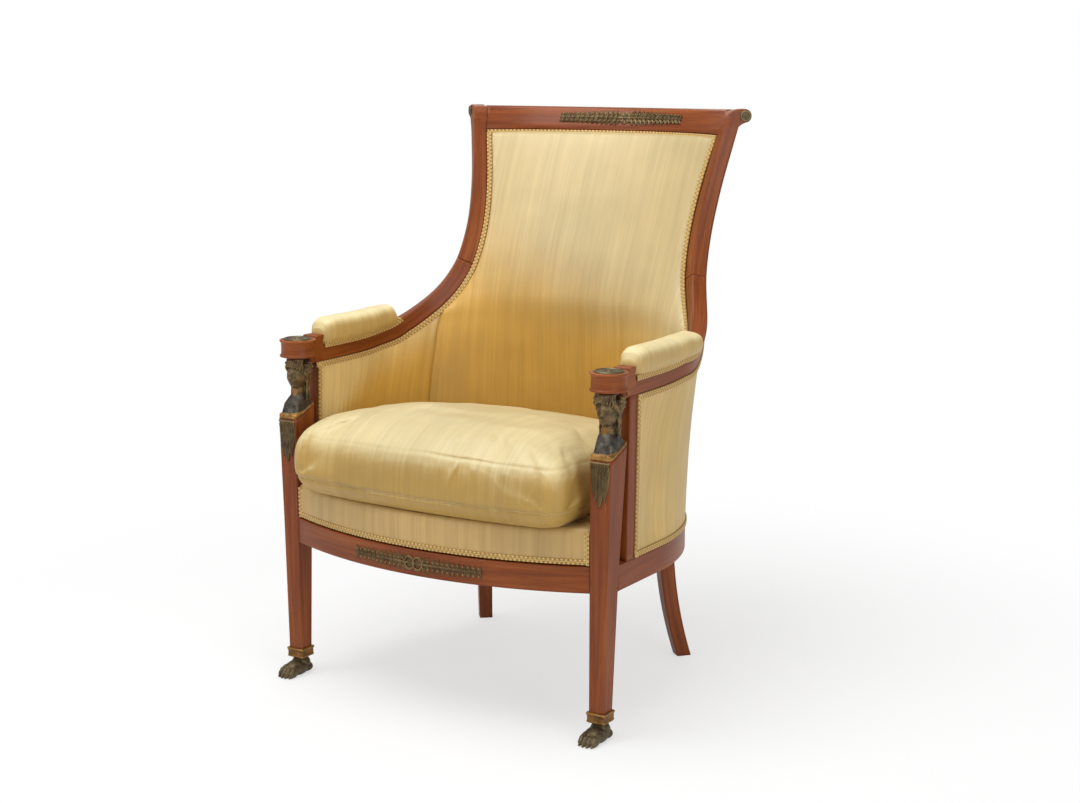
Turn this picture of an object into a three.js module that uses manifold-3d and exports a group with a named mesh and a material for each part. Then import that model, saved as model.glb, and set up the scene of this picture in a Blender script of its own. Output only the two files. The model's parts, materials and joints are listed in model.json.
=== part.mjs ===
// Bergere chair: a gondola armchair in the Empire manner. Show-wood frame with mortise and tenon
// joints, bronze busts, paws and mounts, a wrapped back and a loose cushion.
// Millimetres, +Z up, the front faces -Y. Half of the chair is described and the other half mirrored.
import * as THREE from 'three';
import { mergeVertices } from 'three/addons/utils/BufferGeometryUtils.js';
import Module from 'manifold-3d';

const wasm = await Module();
wasm.setup();

// Driving dimensions of the whole chair
const overallHeight = 1000;      // floor to the top of the back posts' scrolls
const armHeight = 574;           // floor to the middle of the arm rail at its front
const wallHalfWidth = 304;       // centre line to the inner face of the arms and side rails
const wallReach = 322;           // half depth of the seat's rounded back, inside
const wallThickness = 28;        // the timber of rails, arms and back posts
const railBottom = 246.5;        // floor to the underside of the seat rails
const railTop = 290;             // floor to the top of the seat rails
const frontBow = 65;             // how far the front rail bows forward
const fit = 0.3;                 // clearance between seated pieces
const overrun = 40;              // how far cutting tools run past what they cut

// Heights in the tables are levels: 0 is the top of the seat rails, 1 the middle of the arm rail and 2 the
// top of the chair.
// The wall that the arms, back and side rails follow in plan is a straight side and a half ellipse.
// Rows: level, then the ellipse's centre and half depth as shares of wallReach
const wallShares = [
  [-0.153, -0.186, 1],
  [0, -0.186, 1],
  [0.493, -0.134, 0.969],
  [0.951, 0.022, 0.814],
  [1.155, 0.186, 0.652],
  [1.343, 0.258, 0.637],
  [1.531, 0.332, 0.649],
  [1.718, 0.419, 0.658],
  [1.906, 0.522, 0.668],
  [2.047, 0.605, 0.676],
];

// Front legs: square, tapered down, upright on their inner front corner
const legSetIn = 5;              // their inner faces stand in from the wall's
const legInner = wallHalfWidth - legSetIn;
const legFront = -233;           // the front face
const legFoot = { z: 40, width: 28, depth: 29 };
const legRail = { z: railTop, width: 33.5, depth: 39 };
const bustHeight = 108;          // the legs end below the arm by the height of the busts
const legHead = { z: armHeight - bustHeight, width: 39, depth: 52 };
const legHeadRise = 22;          // the top of the leg slopes up to the back

// Arms and back posts: one swooping member, jointed at the scarf
const scarfShare = 0.315;        // the joint's height, as a share of the rise from the arm rail to the top
// Rows: share of the wall, level
const memberPathShares = [
  [-1, 1],
  [-0.6, 1],
  [-0.2, 1.004],
  [0.06, 1.021],
  [0.16, 1.056],
  [0.25, 1.108],
  [0.33, 1.171],
  [0.39, 1.249],
  [0.428, 1.347],
  [0.441, 1.507],
  [0.418, 1.692],
  [0.372, 1.871],
  [0.35, 1.941],
];
const armWidth = 30;             // height of the arm rail, which turns into the width of the post
const postMidWidth = 31;
const postTopWidth = 25;
const memberEdge = 3;            // eased edges
const memberSteps = 36;

// Scrolls at the top of the back
const scrollRadius = 12;
const scrollSetBack = 37;        // from the front face to the scroll's centre
const scrollBoss = 3;            // the scroll's ends stand out past the post
const crestScrollRadius = 10.5;
const crestScrollSetBack = 22;
const crestHeight = 45;
const crestEndShare = 0.2;       // its ends are let into the posts
const crestThickness = 21;
const crestInset = 3;            // the crest's face lies behind the posts' faces
const crestDip = 3;              // the crest sinks a little towards its middle

// Rear legs: sabre legs that splay back and out
const rearLegShare = 0.572;      // where they stand on the wall's ellipse
const rearLegWidth = 30;
const rearFootWidth = 25;
const rearFootDepth = 27;
const rearFootOut = 22;
const rearFootBack = 36;
const rearLegSteps = 7;
const uprightWidth = 30;
const uprightFront = 3.5;        // the hidden upright lies inside the wall, this far behind its faces
const uprightCover = 5.5;
const uprightBack = wallThickness - uprightCover;
const uprightTopShare = 0.53;    // the hidden upright ends beside the swept post, above the scarf
// Rows: share of the wall, share of the height from the rail's top to the upright's end
const uprightPathShares = [
  [0.572, 0],
  [0.553, 0.216],
  [0.53, 0.451],
  [0.512, 0.647],
  [0.492, 0.804],
  [0.452, 1],
];
const backRailRise = 110;        // a hidden rail above the seat stiffens the back and takes its webbing
const backRailHeight = 30;
const backRailThickness = 14;

// Arm fronts: drum on the bust's head, block behind it, post below
const drumRadius = 31.5;
const drumLip = 2;
const drumHeight = 30.3;
const drumSetOut = 17;           // its centre from the inner and front faces of the leg
const drumSetBack = 30;
const drumCentreX = legInner + drumSetOut;
const drumCentreY = legFront + drumSetBack;
const blockSetBack = 27;         // from the drum's centre to the block's front face
const blockDepth = 26;
const blockFront = drumCentreY + blockSetBack;
const blockBack = blockFront + blockDepth;
const blockDrop = 4.6;           // the block's top lies below the drum's
const blockHeight = 38;
const armPostSetBack = 6;        // behind the block's front face
const armPostFront = blockFront + armPostSetBack;
const armPostDepth = 24;
const armPostLean = 7;           // the post leans back by this much over its height

// Joinery
const tenonThickness = 9;
const tenonHeight = 28;
const tenonLength = 16;
const cornerReachShare = 0.13;   // the rear corner blocks' reach to each side of the leg, along the wall

// Seat: webbing, stuffed platform and loose cushion
const webWidth = 48;
const webThickness = 2;
const webLengthwiseShares = [-0.39, -0.13, 0.13, 0.39];
const webCrosswiseShares = [-0.3, -0.05, 0.2];
const deckTop = 352;
const deckSetBack = 5;           // the platform's front border lies behind the rail's face
const deckEase = 6;
const cushionHeight = 147;
const cushionFall = 47;          // the crown falls off towards the back
const cushionFallShares = { from: 0.3, to: 1 };
const cushionLegGap = 15;        // from the inner face of the legs
const cushionCornerRadius = 44;
const cushionFrontBow = 24;
const cushionOverhang = 20;      // the cushion stands this far past the front rail
const cushionGap = 3;            // and this far from the padding round it
// Rows: share of the cushion's height, share of its plan. The sides draw in at both seams
const cushionShares = [
  [0, 0.95],
  [0.07, 0.985],
  [0.2, 0.982],
  [0.4, 1],
  [0.58, 0.985],
  [0.7, 0.955],
  [0.8, 0.87],
  [0.89, 0.72],
  [0.96, 0.5],
  [1, 0.25],
];

// Padding of the inside back and arms, and the cloth outside
const padBack = 3;
const padEdgeThickness = 4;
const tackMargin = 2;            // between the padding's edge and the braid
const seamGap = 2.4;             // half of the groove along a seam
const padRise = 4;               // the padding starts this far above the seat rails
const padCrown = 22;
const armCrown = 12;
const seamShare = 0.333;         // inside seam between arm and back
const outerSeamShare = 0.49;     // outside seam at the rear upright
const panelThickness = 3.5;
const panelInset = 0.4;          // the outside cloth lies just inside the timber's outer face
const panelSag = 8;              // and draws in between rail and arm
// Rows: level, how far the padding's edge stands in as a share of wallThickness, share of padCrown
const backPadShares = [
  [0.014, 0.04, 0.3],
  [0.141, 0.04, 0.62],
  [0.387, 0.04, 0.9],
  [0.739, 0.04, 1],
  [1.131, 0.04, 1],
  [1.296, 0.04, 0.78],
  [1.46, 0.04, 0.42],
  [1.624, -0.1, 0.16],
  [1.765, -0.38, 0.04],
  [1.883, -0.56, 0],
];

// Stuffed pads on the arms
const armPadSetBack = 5;         // behind the block
const armPadFront = blockBack + armPadSetBack;
const armPadEndShare = 0.135;
const armPadOverhang = 9.5;      // the roll stands out past the timber's sides
const armPadSetIn = 1.5;         // and is tacked down just inside them
const armPadWidth = wallThickness + 2 * armPadOverhang;
const armPadHeight = 46;
const armPadRearShare = 0.8;     // its height falls off to this share at the rear
const armPadFoot = wallThickness - 2 * armPadSetIn;
const armPadGimpShares = { gap: 0.4, width: 0.5 };  // the braid's rear end, in steps of the member
const armPadEndShares = [[0, 0.6], [0.03, 0.88], [0.1, 1], [0.9, 1], [0.97, 0.84], [1, 0.5]];

// Gimp braid
const gimpWidth = 10;
const gimpThickness = 4;
const crestGimpDrop = 1.2;       // below the crest rail's edge
const borderGimpHeight = 13;

// Bronze
const pawLength = 66;
const pawWidth = 37;
const pawHeight = 31;
const pawSetBack = 31;           // the heel lies behind the leg's front face
const pawBack = legFront + pawSetBack;
const toeRadius = 8.5;
const toeShares = { spread: 0.98, width: 0.9, length: 1.5, rise: 0.72 };
const collarHeight = 17;
const collarWall = 2.2;
const mountThickness = 3;
const crestMountReach = 138;
const crestLeafWidth = 15;
const railMountReach = 138;
const railLeafLength = 22;
const railLeafRise = 8;          // the tips reach this much higher than the foot reaches down
const crestLeafFallShare = 0.6;  // how much the leaves shrink towards the ends of the mounts
const railLeafFallShare = 0.35;
const mountStem = 2.5;
const mountRosetteRadius = 9;
const mountBossShares = { face: 0.7, height: 1.5 };
const palmetteWidth = 37;
const palmetteSetDown = 2;       // below the head of the leg
const palmetteDrop = 75;
const palmetteSplay = 0.16;      // the side leaves' angle to the middle one, in radians
const palmetteSideShare = 0.72;  // and their length, as a share of the drop
const rosetteRadius = 24.5;
const rosetteHeight = 3;
const bustDiscRadius = 16;
const bustDiscHeight = 5;
const bustShares = { shoulder: 0.343, head: 0.713, headHalfHeight: 0.213 };
const bustRiseShares = { plinth: 0.35, waist: 0.55 };
const bustSquareShares = { plinth: 0.35, waist: 0.6, shoulder: 0.9 };  // 0 is a square section, 1 round
const headHalfWidth = 14.5;
const headHalfDepth = 17.5;
const hairGrowth = 3.5;          // the hair stands out from the skull
const bunRadius = 7.5;
const neckRadius = 9;
const neckTopShare = 0.95;
const bunTallShare = 1.2;
const lockTallShare = 2.6;
const fringeShares = { turn: 0.26, across: 0.95, forward: 0.82, rise: 0.55, width: 0.8, tall: 0.36 };
const noseShares = { width: 0.14, depth: 0.18, tall: 0.22, fall: 0.12 };
const discFootShare = 0.9;

const showWood = () => new THREE.MeshStandardMaterial({ color: 0x7a3a22, roughness: 0.32, metalness: 0 });
const innerWood = () => new THREE.MeshStandardMaterial({ color: 0xb08a5c, roughness: 0.8, metalness: 0 });
const silk = () => new THREE.MeshStandardMaterial({ color: 0xcdb279, roughness: 0.55, metalness: 0 });
const braid = () => new THREE.MeshStandardMaterial({ color: 0xb9924a, roughness: 0.6, metalness: 0 });
const bronze = () => new THREE.MeshStandardMaterial({ color: 0x4a4433, roughness: 0.45, metalness: 0.8 });
const gilt = () => new THREE.MeshStandardMaterial({ color: 0x9a7434, roughness: 0.4, metalness: 0.9 });
const jute = () => new THREE.MeshStandardMaterial({ color: 0xa08a60, roughness: 0.95, metalness: 0 });

const chair = new THREE.Group();
const V = (x, y, z) => new THREE.Vector3(x, y, z);
const mix = THREE.MathUtils.lerp;
const heightAt = (level) => (
  level < 1 ? mix(railTop, armHeight, level) : mix(armHeight, overallHeight, level - 1)
);
const scarfHeight = heightAt(1 + scarfShare);
const crestBottom = overallHeight - crestHeight;
const drumBottom = armHeight + fit;
const drumTop = drumBottom + drumHeight;
const blockTop = drumTop - blockDrop;
const blockBottom = blockTop - blockHeight;
const smooth = (value, low, high) => THREE.MathUtils.smoothstep(value, low, high);

// Catmull-Rom reading of a table whose first column rises
function readTable(rows, key, column) {
  const last = rows.length - 1;
  const found = rows.findIndex((row) => row[0] > key);
  const i = found < 0 ? last - 1 : Math.max(found - 1, 0);
  const at = (k) => rows[THREE.MathUtils.clamp(k, 0, last)];
  const span = at(i + 1)[0] - at(i)[0];
  const t = THREE.MathUtils.clamp((key - at(i)[0]) / span, 0, 1);
  const slope = (k) => (at(k + 1)[column] - at(k - 1)[column]) / (at(k + 1)[0] - at(k - 1)[0]);
  const a = at(i)[column];
  const b = at(i + 1)[column];
  const t2 = t * t;
  const t3 = t2 * t;
  return a * (2 * t3 - 3 * t2 + 1) + b * (3 * t2 - 2 * t3)
    + span * (slope(i) * (t3 - 2 * t2 + t) + slope(i + 1) * (t3 - t2));
}
const raised = (rows) => rows.map(([level, ...rest]) => [heightAt(level), ...rest]);
const wallRows = raised(wallShares);
const wallCentre = (z) => readTable(wallRows, z, 1) * wallReach;
const wallDepth = (z) => readTable(wallRows, z, 2) * wallReach;

// A point of the wall. share runs from -1 at the front, 0 where the curve starts, 1 at the middle of the
// back, and on to 3 at the other front; out is measured outwards, square to the wall's inner face.
function wallPoint(share, z, out) {
  const side = share > 1 ? -1 : 1;
  const own = share > 1 ? 2 - share : share;
  const angle = Math.max(own, 0) * Math.PI / 2;
  const centre = wallCentre(z);
  const depth = wallDepth(z);
  const run = centre - drumCentreY;
  const y = centre + Math.min(own, 0) * run + depth * Math.sin(angle);
  const point = V(wallHalfWidth * Math.cos(angle), y, z);
  const ahead = wallCentre(z + fit) + wallDepth(z + fit) * Math.sin(angle);
  const rise = (ahead - centre - depth * Math.sin(angle)) / fit;
  const normal = V(Math.cos(angle) / wallHalfWidth, Math.sin(angle) / depth, 0).normalize();
  normal.z = -normal.y * rise;
  normal.normalize();
  point.addScaledVector(normal, out);
  point.x *= side;
  return point;
}
function wallNormal(share, z) {
  return wallPoint(share, z, wallThickness).sub(wallPoint(share, z, 0)).normalize();
}

// Closed loft through rings of equal count. Its ends are flat, or for a curtain two rows joined like a
// ladder.
function loft(rings, curtained = false) {
  const count = rings[0].length;
  const positions = rings.flat().flatMap((p) => [p.x, p.y, p.z]);
  const index = [];
  for (let r = 0; r + 1 < rings.length; r += 1) {
    for (let i = 0; i < count; i += 1) {
      const a = r * count + i;
      const b = r * count + (i + 1) % count;
      index.push(a, b, b + count, a, b + count, a + count);
    }
  }
  const cap = curtained ? ladder(count) : capTriangles(rings[0], count);
  const top = (rings.length - 1) * count;
  cap.forEach(([a, b, c]) => {
    index.push(a, c, b);
    index.push(top + a, top + b, top + c);
  });
  return outward(meshOf(positions, index));
}
// Triangles of a ring's cap, found in the ring's own plane, in the ring's turning sense
function capTriangles(ring, count) {
  const flat = flatten(ring);
  const triangles = THREE.ShapeUtils.triangulateShape(flat, []);
  const forward = THREE.ShapeUtils.area(flat) > 0;
  return triangles.map(([a, b, c]) => {
    const turn = flat[b].clone().sub(flat[a]).cross(flat[c].clone().sub(flat[a]));
    return (turn > 0) === forward ? [a, b, c] : [a, c, b];
  });
}
function ladder(count) {
  const triangles = [];
  for (let a = 0, d = count - 1; a + 1 < d; a += 1, d -= 1) {
    triangles.push([a, a + 1, d], [a + 1, d - 1, d]);
  }
  return triangles.filter(([a, b, c]) => new Set([a, b, c]).size === 3);
}
function flatten(ring) {
  if (ring[0].z === undefined) return ring;
  const normal = V(0, 0, 0);
  ring.forEach((p, i) => normal.add(p.clone().cross(ring[(i + 1) % ring.length])));
  normal.normalize();
  const across = ring[1].clone().sub(ring[0]);
  across.addScaledVector(normal, -across.dot(normal)).normalize();
  const up = normal.clone().cross(across);
  return ring.map((p) => new THREE.Vector2(p.dot(across), p.dot(up)));
}
function meshOf(positions, index) {
  const geometry = new THREE.BufferGeometry();
  geometry.setAttribute('position', new THREE.Float32BufferAttribute(positions, 3));
  geometry.setIndex(index);
  return geometry;
}
function volumeOf(geometry) {
  const p = geometry.attributes.position;
  const at = (i) => V(p.getX(i), p.getY(i), p.getZ(i));
  let sum = 0;
  const ids = geometry.index.array;
  for (let i = 0; i < ids.length; i += 3) sum += at(ids[i]).dot(at(ids[i + 1]).cross(at(ids[i + 2])));
  return sum;
}
function outward(geometry) {
  return volumeOf(geometry) < 0 ? turned(geometry) : geometry;
}
function turned(geometry) {
  const ids = Array.from(geometry.index.array);
  for (let i = 0; i < ids.length; i += 3) [ids[i + 1], ids[i + 2]] = [ids[i + 2], ids[i + 1]];
  geometry.setIndex(ids);
  return geometry;
}

// Joining and cutting
function body(geometry) {
  const bare = geometry.clone();
  ['normal', 'uv'].forEach((name) => bare.deleteAttribute(name));
  const merged = outward(mergeVertices(bare, fit / 1000));
  return new wasm.Manifold(new wasm.Mesh({
    numProp: 3,
    vertProperties: new Float32Array(merged.attributes.position.array),
    triVerts: new Uint32Array(merged.index.array),
  }));
}
function geometryOf(solid) {
  const mesh = solid.getMesh();
  return meshOf(Array.from(mesh.vertProperties), Array.from(mesh.triVerts));
}
const union = (...parts) => geometryOf(parts.map(body).reduce((sum, part) => sum.add(part)));
const cut = (base, ...tools) => geometryOf(
  tools.map(body).reduce((sum, tool) => sum.subtract(tool), body(base)),
);
const common = (a, b) => geometryOf(body(a).intersect(body(b)));

function mirrored(geometry) {
  return turned(geometry.clone().applyMatrix4(new THREE.Matrix4().makeScale(-1, 1, 1)));
}
function add(name, geometry, material) {
  const mesh = new THREE.Mesh(geometry, material);
  mesh.name = name;
  chair.add(mesh);
}
function addPair(name, geometry, makeMaterial) {
  add(`${name}_right`, geometry, makeMaterial());
  add(`${name}_left`, mirrored(geometry), makeMaterial());
}
// Box between two corners
function block(x0, x1, y0, y1, z0, z1) {
  const geometry = new THREE.BoxGeometry(x1 - x0, y1 - y0, z1 - z0);
  return geometry.translate((x0 + x1) / 2, (y0 + y1) / 2, (z0 + z1) / 2);
}
const everything = overallHeight + overrun;
const below = (z) => block(-everything, everything, -everything, everything, -everything, z);
const above = (z) => block(-everything, everything, -everything, everything, z, everything);

// A member with a rectangular section, eased at the corners, carried along wall stations
const ringOn = (place, across, outwards, corners) => corners
  .map(([w, n]) => place.clone().addScaledVector(across, w).addScaledVector(outwards, n));
function memberRing(place, across, outwards, width, near, far, edge) {
  const half = width / 2;
  return ringOn(place, across, outwards, [
    [-half + edge, near], [half - edge, near], [half, near + edge], [half, far - edge],
    [half - edge, far], [-half + edge, far], [-half, far - edge], [-half, near + edge],
  ]);
}
// A strip with a rectangular section; span gives its low and high edge and its near and far face
function strip(stations, span) {
  return loft(stations.map((station) => {
    const [low, high, near, far] = span(station);
    const corners = [[low, near], [high, near], [high, far], [low, far]];
    return ringOn(station.place, station.across, station.outwards, corners);
  }));
}
// The path on the wall, as share and height, with the frame of the member at each step
function wallPath(rows, steps, from = 0, to = 1) {
  const curve = new THREE.SplineCurve(rows.map(([share, z]) => new THREE.Vector2(share, z)));
  const stations = [];
  for (let i = 0; i <= steps; i += 1) stations.push(curve.getPoint(mix(from, to, i / steps)));
  return stations.map(({ x: share, y: z }, i) => {
    const ahead = stations[Math.min(i + 1, steps)];
    const behind = stations[Math.max(i - 1, 0)];
    const along = wallPoint(ahead.x, ahead.y, 0).sub(wallPoint(behind.x, behind.y, 0)).normalize();
    const outwards = wallNormal(share, z);
    const across = outwards.clone().cross(along).normalize();
    return { share, z, place: wallPoint(share, z, 0), outwards, across, run: i / steps };
  });
}
const memberRows = memberPathShares.map(([share, level]) => [share, heightAt(level)]);
const memberStations = wallPath(memberRows, memberSteps);
const widthAt = (z) => (z < scarfHeight
  ? mix(armWidth, postMidWidth, smooth(z, blockTop, scarfHeight))
  : mix(postMidWidth, postTopWidth, smooth(z, scarfHeight + scrollRadius, overallHeight - scrollRadius)));
function memberSweep(spare) {
  return loft(memberStations.map(({ place, across, outwards, z }) => memberRing(
    place, across, outwards, widthAt(z) + 2 * spare, -spare, wallThickness + spare, memberEdge,
  )));
}
// The share of the wall at a depth y
function shareAt(y, z) {
  const ahead = y - wallCentre(z);
  if (ahead < 0) return ahead / (wallCentre(z) - drumCentreY);
  return Math.asin(Math.min(ahead / wallDepth(z), 1)) / (Math.PI / 2);
}
// Where the member's lower and inner edge runs, a gap away from it, as rows of share and height
function memberEdgeRows(gap) {
  return memberStations.map(({ z, place, across }) => {
    const p = place.clone().addScaledVector(across, -widthAt(z) / 2 - gap);
    return [shareAt(p.y, p.z), p.z];
  });
}
const between = (a, b, key, from, to) => b[to] + (key - b[from]) * (a[to] - b[to]) / (a[from] - b[from]);
// Height of that edge over a share of the wall, and the share of it at a height
function edgeHeight(rows, share) {
  const i = Math.max(rows.findIndex((row, k) => rows[k + 1] === undefined || rows[k + 1][0] > share), 0);
  return rows[i + 1] ? between(rows[i + 1], rows[i], share, 0, 1) : rows[i][1];
}
function edgeShare(rows, z) {
  const i = Math.max(rows.findIndex((row, k) => rows[k + 1] === undefined || rows[k + 1][1] > z), 0);
  return rows[i + 1] ? between(rows[i + 1], rows[i], z, 1, 0) : rows[i][0];
}

// Arms
// Each arm is one timber: a turned drum that sits on the bust's head, a block behind it, the arm rail
// and the sweep up to the scarf joint with the back post.
function drumSolid() {
  const lip = drumLip + drumLip / 2;
  const profile = [
    [0, drumBottom], [drumRadius - drumLip / 2, drumBottom], [drumRadius, drumBottom + drumLip / 2],
    [drumRadius, drumBottom + lip], [drumRadius - drumLip, drumBottom + 2 * lip],
    [drumRadius - drumLip, drumTop - 2 * lip], [drumRadius, drumTop - lip],
    [drumRadius, drumTop - drumLip / 2], [drumRadius - drumLip / 2, drumTop], [0, drumTop],
  ].map(([r, z]) => new THREE.Vector2(r, z));
  const drum = new THREE.LatheGeometry(profile, 20);
  return drum.rotateX(Math.PI / 2).translate(drumCentreX, drumCentreY, 0);
}
function armBlock() {
  const halfWidth = wallThickness / 2 + memberEdge / 2;
  const middle = wallHalfWidth + wallThickness / 2;
  const outline = new THREE.Shape();
  outline.moveTo(drumCentreY, drumBottom);
  outline.lineTo(blockFront, drumBottom);
  outline.lineTo(blockFront, blockBottom);
  outline.lineTo(blockBack - armPostDepth / 2, blockBottom);
  outline.quadraticCurveTo(blockBack, blockBottom, blockBack + memberEdge, blockBottom + armWidth / 2);
  outline.lineTo(blockBack + memberEdge, blockTop - memberEdge);
  outline.lineTo(blockBack, blockTop);
  outline.lineTo(drumCentreY, blockTop);
  const width = { depth: 2 * halfWidth, bevelEnabled: false, curveSegments: 6 };
  const solid = new THREE.ExtrudeGeometry(outline, width);
  const turn = new THREE.Matrix4().makeBasis(V(0, 1, 0), V(0, 0, 1), V(1, 0, 0));
  return solid.applyMatrix4(turn).translate(middle - halfWidth, 0, 0);
}

// Back posts
// One timber from the sabre foot through the hidden upright to the scroll above the arms.
const uprightTop = heightAt(1 + uprightTopShare);
const uprightRows = uprightPathShares.map(([share, rise]) => [share, mix(railTop, uprightTop, rise)]);
const uprightStations = () => wallPath(uprightRows, rearLegSteps);
function uprightSweep(spare) {
  return loft(uprightStations().map(({ place, across, outwards }) => memberRing(
    place, across, outwards, uprightWidth + 2 * spare, uprightFront - spare, uprightBack + spare, memberEdge,
  )));
}
function sabreLeg(spare) {
  const head = uprightStations()[0];
  const across = V(head.outwards.y, -head.outwards.x, 0).normalize();
  const outwards = V(head.outwards.x, head.outwards.y, 0).normalize();
  const ring = (z) => {
    const fall = THREE.MathUtils.clamp((railBottom - z) / railBottom, 0, 1);
    const width = mix(rearLegWidth, rearFootWidth, fall) + 2 * spare;
    const depth = mix(wallThickness, rearFootDepth, fall);
    const curve = fall * fall;
    const place = wallPoint(rearLegShare, railBottom, 0).setZ(z);
    place.add(V(rearFootOut * curve, rearFootBack * curve, 0));
    return memberRing(place, across, outwards, width, -spare, depth + spare, memberEdge);
  };
  const levels = [railTop + 2 * spare, railBottom];
  for (let i = 1; i <= rearLegSteps; i += 1) levels.push(railBottom * (1 - i / rearLegSteps) - spare);
  return loft(levels.map(ring));
}
function postScroll() {
  const top = memberStations[memberSteps];
  const centreHeight = overallHeight - scrollRadius;
  const place = wallPoint(top.share, centreHeight, scrollSetBack);
  place.z = centreHeight;
  const axis = V(top.across.x, top.across.y, 0).normalize();
  const length = postTopWidth + scrollBoss;
  const roll = new THREE.CylinderGeometry(scrollRadius, scrollRadius, length, 14);
  roll.applyQuaternion(new THREE.Quaternion().setFromUnitVectors(V(0, 1, 0), axis));
  roll.translate(...place.clone().addScaledVector(axis, scrollBoss / 2).toArray());
  return union(roll, scrollHead(place, axis, top, postTopWidth, scrollRadius));
}
// The face of the post rolls over backwards into the scroll
function scrollHead(place, axis, top, width, radius) {
  const forward = V(axis.y, -axis.x, 0);
  if (forward.y > 0) forward.negate();
  const low = wallPoint(top.share, top.z - radius, 0);
  const lowOut = low.clone().sub(place).dot(forward);
  const lowBack = wallPoint(top.share, top.z - radius, wallThickness).sub(place).dot(forward);
  const faceHeight = overallHeight - radius - memberEdge;
  const face = wallPoint(top.share, faceHeight, 0).sub(place).dot(forward);
  const outline = new THREE.Shape();
  outline.moveTo(lowOut, low.z - place.z);
  outline.lineTo(face, faceHeight - place.z);
  outline.quadraticCurveTo(face - memberEdge, radius, 0, radius);
  outline.lineTo(0, -radius);
  outline.lineTo(lowBack, low.z - place.z);
  const solid = new THREE.ExtrudeGeometry(outline, { depth: width, bevelEnabled: false, curveSegments: 4 });
  const turn = new THREE.Matrix4().makeBasis(forward, V(0, 0, 1), forward.clone().cross(V(0, 0, 1)));
  return solid.applyMatrix4(turn).translate(
    ...place.clone().addScaledVector(forward.clone().cross(V(0, 0, 1)), -width / 2).toArray(),
  );
}

// Rails. The seat's rails are level in section; what lies higher follows the rake of the wall.
function levelPoint(share, z, out) {
  const [inner, outer] = [0, wallThickness].map((reach) => wallPoint(share, z, reach));
  const across = outer.sub(inner).setZ(0).normalize();
  return inner.addScaledVector(across, out);
}
function wallRail(fromShare, toShare, steps, z0, z1, near, far, pointOf = levelPoint) {
  const rings = [];
  for (let i = 0; i <= steps; i += 1) {
    const share = mix(fromShare, toShare, i / steps);
    const corners = [[z0, near], [z0, far], [z1, far], [z1, near]];
    rings.push(corners.map(([z, out]) => pointOf(share, z, out)));
  }
  return loft(rings);
}
const bowRadius = (legInner * legInner + frontBow * frontBow) / (2 * frontBow);
const bowFace = legFront - frontBow;
function bowSweep(x0, x1, steps, near, far, z0, z1) {
  const rings = [];
  for (let i = 0; i <= steps; i += 1) {
    const x = mix(x0, x1, i / steps);
    const at = (back, z) => {
      const r = bowRadius - back;
      return V(x, bowFace + bowRadius - Math.sqrt(r * r - x * x), z);
    };
    rings.push([at(near, z0), at(far, z0), at(far, z1), at(near, z1)]);
  }
  return loft(rings);
}
const bowAt = (x, back) => bowFace + bowRadius - Math.sqrt((bowRadius - back) ** 2 - x * x);

// Front legs
function legRing(level, z0, z1, spare) {
  const x0 = legInner - spare;
  const x1 = legInner + level.width + spare;
  const y0 = legFront - spare;
  const y1 = legFront + level.depth + spare;
  return [V(x0, y0, z0), V(x1, y0, z0), V(x1, y1, z1), V(x0, y1, z1)];
}
function frontLeg(spare) {
  return loft([
    legRing(legFoot, legFoot.z - spare, legFoot.z - spare, spare),
    legRing(legRail, legRail.z, legRail.z, spare),
    legRing(legHead, legHead.z, legHead.z + legHeadRise, spare),
  ]);
}

// Tenons and the mortises that take them
const railMiddle = (railBottom + railTop) / 2;
const frontTenonY = bowAt(legInner, wallThickness / 2);
function frontTenon(spare) {
  const t = tenonThickness / 2 + spare;
  const h = tenonHeight / 2 + spare;
  return block(legInner - overrun / 4, legInner + tenonLength + spare, frontTenonY - t, frontTenonY + t,
    railMiddle - h, railMiddle + h);
}
const railMiddleShare = (railMiddle - legFoot.z) / (legRail.z - legFoot.z);
const sideJointY = legFront + mix(legFoot.depth, legRail.depth, railMiddleShare);
const sideTenonX = wallHalfWidth + wallThickness / 2;
function sideTenon(spare) {
  const t = tenonThickness / 2 + spare;
  const h = tenonHeight / 2 + spare;
  return block(sideTenonX - t, sideTenonX + t, sideJointY - tenonLength - spare, sideJointY + overrun / 4,
    railMiddle - h, railMiddle + h);
}
const sideShareFront = -1;
const sideRailBody = () => wallRail(sideShareFront, rearLegShare, 22, railBottom, railTop, 0, wallThickness);
const armPostX = wallHalfWidth + memberEdge / 2;
const armPostFrontAt = (z) => armPostFront + armPostLean * (z - railTop) / (blockBottom - railTop);
function armPost(spare) {
  const [x0, x1] = [armPostX - spare, wallHalfWidth + wallThickness + spare];
  const ring = (z, y) => [
    V(x0, y - spare, z), V(x1, y - spare, z),
    V(x1, y + armPostDepth + spare, z), V(x0, y + armPostDepth + spare, z),
  ];
  return loft([railTop + fit, blockBottom - fit].map((z) => ring(z, armPostFrontAt(z))));
}

const legSpare = frontLeg(fit);
const postSpare = union(sabreLeg(fit), uprightSweep(fit));
addPair('front_leg', cut(frontLeg(0), frontTenon(fit), sideTenon(fit)), showWood);
addPair('side_rail', union(cut(sideRailBody(), legSpare, postSpare), sideTenon(0)), showWood);
add('front_rail', (() => {
  const rail = bowSweep(-legInner + fit, legInner - fit, 26, 0, wallThickness, railBottom, railTop);
  return union(rail, frontTenon(0), mirrored(frontTenon(0)));
})(), showWood());
add('rear_rail', cut(
  wallRail(rearLegShare, 2 - rearLegShare, 24, railBottom, railTop, 0, wallThickness),
  postSpare, mirrored(postSpare),
), showWood());

add('back_lower_rail', (() => {
  const from = uprightPathShares[1][0];
  const low = railTop + backRailRise;
  const near = uprightFront + fit;
  const rail = wallRail(from, 2 - from, 24, low, low + backRailHeight, near, near + backRailThickness);
  return cut(rail, postSpare, mirrored(postSpare));
})(), innerWood());

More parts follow.
